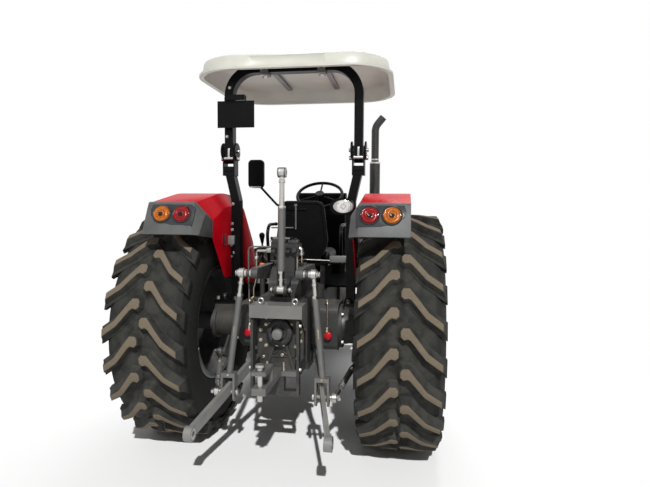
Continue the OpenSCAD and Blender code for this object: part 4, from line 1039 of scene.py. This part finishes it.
Piece("filler_cap", "chassis", ORANGE, "lens_amber").add(
    spun([(0, 0.022), (0.016, 0.021), (0.023, 0.016), (0.025, 0.006), (0.025, -0.004), (0, -0.004)], 24),
    put(*FILLER, 0.394) @ Matrix.Rotation(math.radians(14), 4, "Y")).done()

# Rim flanges, in a lighter copy of the rim paint that paints light on them

FLANGE_AT = 0.1965
FLANGE_SHAPE = [(0.390, -0.004), (0.402, -0.004), (0.408, 0.0), (0.408, 0.0045), (0.402, 0.0075),
                (0.390, 0.0055)]
for side, sign in SIDES.items():
    flange = Piece("rim_flanges_" + side, "rear_wheel_" + side, LIT_RIM_PAINT, "rim_paint")
    for face in (-1, 1):
        flange.add(spun(FLANGE_SHAPE, 72, closed=True),
                   put(sign * REAR_MID.x + face * FLANGE_AT, 0, 0) @ OUT[face])
    flange.done()

# Wheel bolts

# Wheel, hub, the face the nuts stand on, the radius of their circle and their size
NUTS = (("rear", AXLE, REAR_MID.x - 0.006, 0.140, 0.032), ("rear", AXLE, REAR_MID.x + 0.044, 0.296, 0.028),
        ("front", FRONT, FRONT_MID.x - 0.026, 0.132, 0.027))


def bolt_circle(piece, hub, face, circle, start, count, size, height, sign):
    """Bolts round a hub, from a start given as a share of their spacing."""
    for index in range(count):
        turn = math.tau * (index + start) / count
        spot = Vector((sign * face, hub.y + circle * math.cos(turn), hub.z + circle * math.sin(turn)))
        piece.add(bolt(size, height), Matrix.Translation(spot) @ OUT[sign])
    piece.done()


for side, sign in SIDES.items():
    for wheel, hub, face, circle, size in NUTS:
        nuts = Piece("%s_nuts_%d_%s" % (wheel, circle * 1000, side),
                     "%s_wheel_%s" % (wheel, side), ZINC, "zinc")
        bolt_circle(nuts, hub, face, circle, 0.5, 8, size, size * 0.8, sign)
    hub_bolts = Piece("hub_bolts_" + side, "knuckle_" + side, ZINC, "zinc")
    bolt_circle(hub_bolts, FRONT, 0.818, 0.052, 0, 6, 0.016, 0.009, sign)

# Hoop hinges

# The hoop's leg, its two pins, and the inner face of the post's cheeks beside it
HOOP_X, HINGE_Z, LOCK_Z = 0.457, 1.165, 1.217
CHEEK = 0.0435
hinge = Piece("hinge_pins", "chassis", ZINC, "zinc")
cheeks = Piece("hinge_cheeks", "chassis", BLACK, "black_paint")
for turn in (-1, 1):
    for z, radius, end in ((HINGE_Z, 0.0150, 0.0660), (LOCK_Z, 0.0112, 0.0690)):
        hinge.pair(sleeve(radius, CHEEK, end), put(HOOP_X, 0, z) @ OUT[turn])
        hinge.pair(ring(0.012, 0.002), put(HOOP_X, 0, z) @ OUT[turn] @ up(end - 0.004))
    cheeks.pair(sleeve(0.060, CHEEK - 0.002, CHEEK + 0.010, rim=0.003), put(HOOP_X, 0, LOCK_Z) @ OUT[turn])
hinge.done()
cheeks.pair(block((0.066, 0.006, 0.036), 0.002), put(HOOP_X, -0.0425, HINGE_Z - 0.074)).done()
stops = Piece("hinge_stops", "roll_hoop", ZINC, "zinc")
stops.pair(sleeve(0.0125, -0.0325, 0.0325), put(HOOP_X, -0.036, HINGE_Z) @ OUT[1])
stops.pair(block((0.014, 0.008, 0.062), 0.002), put(HOOP_X, -0.037, HINGE_Z + 0.04))
for x, z in ((-0.470, 1.318), (-0.448, 1.655)):
    stops.add(bolt(0.017, 0.010), put(x, -0.035, z) @ REAR)
stops.pair(block((0.054, 0.084, 0.009), 0.002), put(0.200, 0, 1.7365))
for x in (0.182, 0.218):
    stops.pair(bolt(0.014, 0.009), put(x, -0.045, 1.776) @ REAR)
    stops.pair(bolt(0.014, 0.009), put(x, 0.0, 1.732) @ turn_to(-Z_AXIS))
stops.done()

# Mirror, work lamp, connector and reflector

MIRROR_X, MIRROR_Z, STALK_Y = -0.6285, 1.1485, 1.212
mirror = Piece("mirror_head", "chassis", PLASTIC, "black_plastic")
mirror.add(slab(oval(0.0765, 0.1335, 0.038), 0.044, 0.016), put(MIRROR_X, 1.230, MIRROR_Z) @ UPRIGHT)
mirror.add(slab(oval(0.070, 0.127, 0.034), 0.008, 0.002), put(MIRROR_X, 1.238, MIRROR_Z) @ UPRIGHT)
mirror.add(pipe([at(x, STALK_Y, z) for x, z in ((-0.222, 0.850), (-0.420, 0.850), (-0.606, 1.046))],
                0.011, 16, bend=0.05))
mirror.add(sleeve(0.022, 0.0, 0.012), put(-0.236, STALK_Y, 0.850) @ OUT[-1]).done(replaces=("mirror",))
# A bright zinc strip along the mirror head's lower edge: a painted highlight on that edge
Piece("mirror_edge_highlight", "chassis", ZINC, "zinc").add(
    block((0.104, 0.018, 0.018), 0.005), put(MIRROR_X, 1.196, 1.0255)).done()

work = Piece("work_lens", "chassis", WORK_LENS, "lens_clear")
ellipse = [(0.066 * math.cos(a), 0.042 * math.sin(a)) for a in (math.tau * i / 40 for i in range(40))]
work.add(slab(ellipse, 0.009, 0.004), put(*WORK_AT) @ UPRIGHT)
for x, z in ((-0.036, 0.010), (-0.012, -0.016), (0.012, 0.016), (0.036, -0.010)):
    work.add(ring(0.0125, 0.0022), put(*WORK_AT) @ Matrix.Translation((x, -0.009, z)) @ UPRIGHT)
work.done()

POST_REAR, LEAD_X = -0.038, -0.432
Piece("connector_box", "chassis", SHIELD, "shell_grey").add(
    block((0.050, 0.030, 0.064), 0.004), put(-0.436, POST_REAR - 0.014, 0.591)).done()
LEAD = ((LEAD_X, 0.014, 0.565), (LEAD_X, 0.010, 0.420), (-0.420, 0.002, 0.300), (-0.420, 0.002, 0.190))
Piece("connector_lead", "chassis", PLASTIC, "black_plastic").add(
    pipe([at(x, POST_REAR - back, z) for x, back, z in LEAD], 0.0062, bend=0.05)).done()
clips = Piece("post_bolts", "chassis", ZINC, "zinc")
for x, z in ((-0.428, 0.846), (-0.434, 0.706), (-0.434, 0.664), (-0.428, 0.500)):
    clips.add(bolt(0.018, 0.011), put(x, POST_REAR, z) @ REAR)
clips.add(nut(0.022, 0.014), put(LEAD_X, POST_REAR - 0.013, 0.548))
clips.add(nut(0.018, 0.012), put(LEAD_X, POST_REAR - 0.012, 0.470)).done()
Piece("reflector", "chassis", REFLECTOR, "lens_red").add(
    block((0.007, 0.056, 0.078), 0.003), put(-0.4525, -0.156, 0.604)).done()

# Seat

PRESSURE, CLOTH_FRAMES, VOXEL = 4.0, 20, 0.006


def inflated(shape, reach):
    """A cushion blown up by a short cloth simulation, in which no point moves further than reach."""
    mesh = bpy.data.meshes.new("pad")
    shape.to_mesh(mesh)
    shape.free()
    pad = bpy.data.objects.new("pad", mesh)
    bpy.context.scene.collection.objects.link(pad)
    remesh = pad.modifiers.new("remesh", "REMESH")
    remesh.mode = "VOXEL"
    remesh.voxel_size = VOXEL
    start = bpy.data.meshes.new_from_object(pad.evaluated_get(bpy.context.evaluated_depsgraph_get()))
    pad.modifiers.clear()
    pad.data = start
    cloth = pad.modifiers.new("cloth", "CLOTH")
    cloth.settings.use_pressure = True
    cloth.settings.uniform_pressure_force = PRESSURE
    cloth.settings.effector_weights.gravity = 0.0
    cloth.point_cache.frame_start, cloth.point_cache.frame_end = 1, CLOTH_FRAMES
    for moment in range(1, CLOTH_FRAMES + 1):
        bpy.context.scene.frame_set(moment)
    blown = bpy.data.meshes.new_from_object(pad.evaluated_get(bpy.context.evaluated_depsgraph_get()))
    for point, moved in zip(start.vertices, blown.vertices):
        way = moved.co - point.co
        point.co = point.co + way * min(1.0, reach / max(way.length, 1e-9))
    bpy.context.scene.frame_set(1)
    bm = bmesh.new()
    bm.from_mesh(start)
    bpy.data.objects.remove(pad)
    return bm


def stitched(bm, across, along, depth, lines, width=0.007):
    """Presses sewn channels into the side of a pad that faces along, at the given places across."""
    bm.normal_update()
    for v in bm.verts:
        facing = max(0.0, v.normal.dot(along))
        near = max(math.exp(-((v.co.dot(across) - line) / width) ** 2) for line in lines)
        v.co -= along * depth * near * facing


def pad_piece(name, node, shape, reach, along, depth, lines, axis, floor):
    """A padded piece in place of a node: blown up, sewn along lines and flat where it rests."""
    pad = inflated(shape, reach)
    stitched(pad, X_AXIS, along, depth, lines)
    for v in pad.verts:
        v.co[axis] = max(v.co[axis], floor)
    piece = Piece(name, "chassis", SEAT, "seat_vinyl").add(pad).done(
        replaces=(node,), sharp=60, modifiers=[("SUBSURF", {"levels": 1, "render_levels": 1})])


CUSHION_LOW, CUSHION_HIGH = corners("seat_cushion")
BACK_LOW, BACK_HIGH = corners("seat_back")
SHELL_DEPTH = 0.018
cushion = block(CUSHION_HIGH - CUSHION_LOW - Vector((0.026, 0.026, 0.022)), 0.032, 4)
cushion.transform(Matrix.Translation(middle_of(CUSHION_LOW, CUSHION_HIGH) - Z_AXIS * 0.004))
pad_piece("seat_pad", "seat_cushion", cushion, 0.012, Z_AXIS, 0.009, (-0.115, 0.115), 2, CUSHION_LOW.z)
back = slab(oval(0.180, 0.214, 0.070), 0.048, 0.018)
back.transform(Matrix.Translation((0, BACK_HIGH.y - 0.010, middle_of(BACK_LOW, BACK_HIGH).z + 0.012))
               @ UPRIGHT)
pad_piece("backrest_pad", "seat_back", back, 0.011, Y_AXIS, 0.008, (-0.105, 0.105), 1,
          BACK_LOW.y + SHELL_DEPTH)

SHELL_OUTLINE = [((0.165, 0.472), 0.060), ((-0.165, 0.472), 0.060), ((-0.204, 0.150), 0.12),
                 ((-0.130, 0.004), 0.09), ((0.130, 0.004), 0.09), ((0.204, 0.150), 0.12)]
seam = (middle_of(Vector(SHELL_OUTLINE[0][0]), Vector(SHELL_OUTLINE[-1][0])), 0)
tub = slab(flat_path([seam] + SHELL_OUTLINE + [seam], 6)[:-1], SHELL_DEPTH, 0.006)
panel = max((f for f in tub.faces if f.normal.z > 0.9), key=lambda f: f.calc_area())
step_in(tub, panel, ((0.016, 0.0), (0.005, -0.005), (0.020, 0.001)))
seat_shell = Piece("seat_shell", "chassis", PLASTIC, "black_plastic")
seat_shell.add(tub, Matrix.Translation((0, BACK_LOW.y + SHELL_DEPTH + 0.001, BACK_LOW.z)) @ UPRIGHT)
for x in (-0.09, 0.09):
    seat_shell.add(ring(0.011, 0.003),
                   Matrix.Translation((x, BACK_LOW.y + 0.004, BACK_HIGH.z - 0.09)) @ UPRIGHT)
seat_shell.add(block((0.156, 0.010, 0.012), 0.003), put(-0.038, 0.299, 0.811)).done()

SEAT_REAR = 0.298
bracket = Piece("seat_bracket", "chassis", LINK, "link_grey")
bracket.add(pipe([at(-0.045, SEAT_REAR - 0.006, z) for z in (0.846, 0.660)], 0.0068))
bracket.add(pipe([at(x, SEAT_REAR - 0.005, 0.671) for x in (-0.236, -0.063)], 0.0058))
bracket.add(sleeve(0.0125, -0.004, 0.014, rim=0.004), put(-0.045, SEAT_REAR - 0.002, 0.842) @ REAR).done()
RAIL_X, RAIL_Z = 0.290, 0.690
rails = Piece("arm_rails", "chassis", BLACK, "black_paint")
rails.pair(pipe([at(RAIL_X, y, z) for y, z in ((0.420, 0.395), (0.420, 0.420), (0.352, RAIL_Z),
                                               (0.640, RAIL_Z))],
                0.013, 16, bend=0.085))
rails.pair(block((0.095, 0.040, 0.014), 0.003), put(0.2525, 0.420, 0.395))
rails.pair(sleeve(0.0155, 0.0, 0.014), put(RAIL_X, 0.632, RAIL_Z) @ AHEAD).done(replaces=("seat_rails",))

# Lever

KNOB = [(0, -0.050), (0.010, -0.048), (0.0135, -0.030), (0.018, -0.008), (0.0235, 0.014), (0.021, 0.030),
        (0.011, 0.040), (0, 0.042)]
BOOT = [(0.030, -0.022), (0.030, -0.012), (0.024, 0.0), (0.026, 0.008), (0.017, 0.020), (0.019, 0.027),
        (0.009, 0.048)]
LEVER_FOOT, LEVER_TOP = at(-0.370, 0.545, 0.240), at(-0.370, 0.502, 0.582)
lever = Piece("lever", "chassis", PLASTIC, "black_plastic")
lever.add(spun(KNOB, 24), Matrix.Translation(LEVER_TOP) @ turn_to((LEVER_TOP - LEVER_FOOT).normalized()))
lever.add(pipe([LEVER_FOOT, LEVER_TOP], 0.0075))
lever.add(spun(BOOT, 24), Matrix.Translation(LEVER_FOOT))
lever.add(block((0.050, 0.060, 0.012), 0.003), put(-0.370, 0.550, 0.226)).done(replaces=("levers",))

# Exhaust

STACK = (0.485, 1.400)
stack = Piece("exhaust_stack", "chassis", EXHAUST, "exhaust_steel")
stack.add(pipe([at(0.210, STACK[1], 0.135), at(*STACK, 0.135), at(*STACK, 0.430)], 0.033, 24, bend=0.07))
stack.add(sleeve(0.049, 0.400, 1.270, rim=0.012), put(*STACK, 0))
stack.add(pipe([at(*STACK, 1.250), at(*STACK, 1.600), at(STACK[0] + 0.074, STACK[1], 1.690)],
               0.0355, 24, bend=0.11))
stack.done(replaces=("exhaust",))
Piece("exhaust_bands", "chassis", ZINC, "zinc").sleeves(
    put(*STACK, 0), (0.0505, 0.430, 0.444), (0.0505, 1.252, 1.266), (0.0375, 1.284, 1.298)).done()

# Bonnet

BONNET_REAR, BONNET_FRONT, NOSE, STATIONS = 1.352, 2.930, 2.950, 16


def bonnet_arch(y):
    """The bonnet's outline across, at a place along the tractor."""
    share = (y - BONNET_REAR) / (NOSE - BONNET_REAR)
    half, top, low = 0.300 - 0.026 * share ** 2, 0.870 - 0.190 * share ** 1.6, 0.205 - 0.060 * share ** 3
    corner_list = [((-half, low), 0), ((-half, top), 0.1), ((half, top), 0.1), ((half, low), 0)]
    return [at(p.x, y, p.y) for p in flat_path(corner_list, 10)]


hood = bmesh.new()
line = wire(hood, bonnet_arch(BONNET_REAR))
for station in range(1, STATIONS + 1):
    line = draw_on(hood, line, bonnet_arch(BONNET_REAR + (BONNET_FRONT - BONNET_REAR) * station / STATIONS))
face_towards(hood, Z_AXIS)
Piece("bonnet_skin", "bonnet", RED, "paint_red").add(hood).done(replaces=("bonnet",), modifiers=WALL)
HOOD_HINGE = (1.362, 0.848)
ears = Piece("bonnet_ears", "bonnet", BLACK, "black_paint")
for x in (0.133, 0.167):
    ears.pair(sleeve(0.014, -0.004, 0.004, 0.0084), put(x, *HOOD_HINGE) @ OUT[1])
    ears.pair(block((0.008, 0.020, 0.010), 0.001), put(x, HOOD_HINGE[0] + 0.002, HOOD_HINGE[1] + 0.0145))
ears.done()
Piece("headlamp_bezels", "bonnet", BEZEL, "black_plastic").pair(
    spun([(0.058, 0.0), (0.062, 0.004), (0.070, 0.003), (0.073, -0.003), (0.058, -0.003)], 48, closed=True),
    Matrix.Translation((HEAD_AT.x, HEAD_HIGH.y + 0.0005, HEAD_AT.z)) @ AHEAD).done()

# Camera, floor and light

# The camera's place and turns, the photograph's width and focal length in pixels, and the lens shift
CAMERA_AT = (0.7749, -3.51, 1.5788 - AXLE.z)
CAMERA_YAW, CAMERA_PITCH, CAMERA_ROLL = (math.radians(a) for a in (8.5832, -3.4304, 0.3689))
PHOTO_WIDTH, PHOTO_FOCAL = 650, 509.74
SHIFT = (-0.0041, -0.0026)

scene = bpy.context.scene
camera = bpy.data.objects.new("camera", bpy.data.cameras.new("camera"))
camera.data.sensor_width = 36
camera.data.lens = PHOTO_FOCAL / PHOTO_WIDTH * camera.data.sensor_width
camera.data.shift_x, camera.data.shift_y = SHIFT
camera.matrix_world = (put(*CAMERA_AT) @ Matrix.Rotation(CAMERA_YAW, 4, "Z")
                       @ Matrix.Rotation(math.pi / 2 + CAMERA_PITCH, 4, "X")
                       @ Matrix.Rotation(CAMERA_ROLL, 4, "Z"))
scene.collection.objects.link(camera)
scene.camera = camera


def rays(tree, *kinds):
    """1 for rays of the given kinds."""
    first, *others = (tree.node("ShaderNodeLightPath", out="Is %s Ray" % kind) for kind in kinds)
    for other in others:
        first = first.high(other)
    return first


def floor_finish():
    """A pale floor, faintly uneven, which fades into the white background away from the tractor."""
    f = Finish("floor", Specular_IOR_Level=0.2)
    cloud = f.noise(0.8, 3)
    f.set(Base_Color=f.mix(cloud, (0.86, 0.86, 0.86), (0.9, 0.9, 0.895)), Roughness=0.6 + cloud * 0.1)
    x, y = f.along("X"), f.along("Y")
    far = (x * x + y * y).root().step(1.8, 3.6)
    white = f.node("ShaderNodeEmission")
    both = f.node("ShaderNodeMixShader", None,
                  {0: far * rays(f, "Camera", "Glossy"), 1: Value(f, f.shader.outputs[0]), 2: white})
    f.tree.links.new(both.socket, f.tree.nodes["Material Output"].inputs[0])
    return f.material


FLOOR_HALF = 40.0
ground = bmesh.new()
bmesh.ops.create_grid(ground, x_segments=1, y_segments=1, size=FLOOR_HALF)
floor_mesh = bpy.data.meshes.new("floor")
ground.to_mesh(floor_mesh)
ground.free()
floor_mesh.materials.append(floor_finish())
floor = bpy.data.objects.new("floor", floor_mesh)
scene.collection.objects.link(floor)


def shine(name, kind, place, way, energy, **settings):
    """A lamp at a place that shines along a way."""
    light = bpy.data.lights.new(name, kind)
    light.energy = energy
    for key, value in settings.items():
        setattr(light, key, value)
    lamp = bpy.data.objects.new(name, light)
    lamp.matrix_world = Matrix.Translation(place) @ turn_to(-Vector(way).normalized())
    scene.collection.objects.link(lamp)


shine("sun", "SUN", (0, 0, 0), (-0.28, 1.06, -1.0), 3.85, angle=math.radians(1.2))
shine("top", "AREA", (0.5, 1.5, 5.5), (-0.5, -1.5, -4.6), 120, size=3.0)

# The background is white to look at, and dimmer as a light
SKY_FILL = 0.19
world = bpy.data.worlds.new("world")
world.use_nodes = True
sky = Nodes(world.node_tree)
seen = rays(sky, "Camera", "Glossy", "Transmission")
strength = sky.node("ShaderNodeMapRange", None, {"Value": seen, "To Min": SKY_FILL, "To Max": 1.0})
backdrop = sky.tree.nodes["Background"]
backdrop.inputs["Color"].default_value = (1, 1, 1, 1)
sky.tree.links.new(strength.socket, backdrop.inputs["Strength"])
scene.world = world
scene.view_settings.view_transform = "Standard"
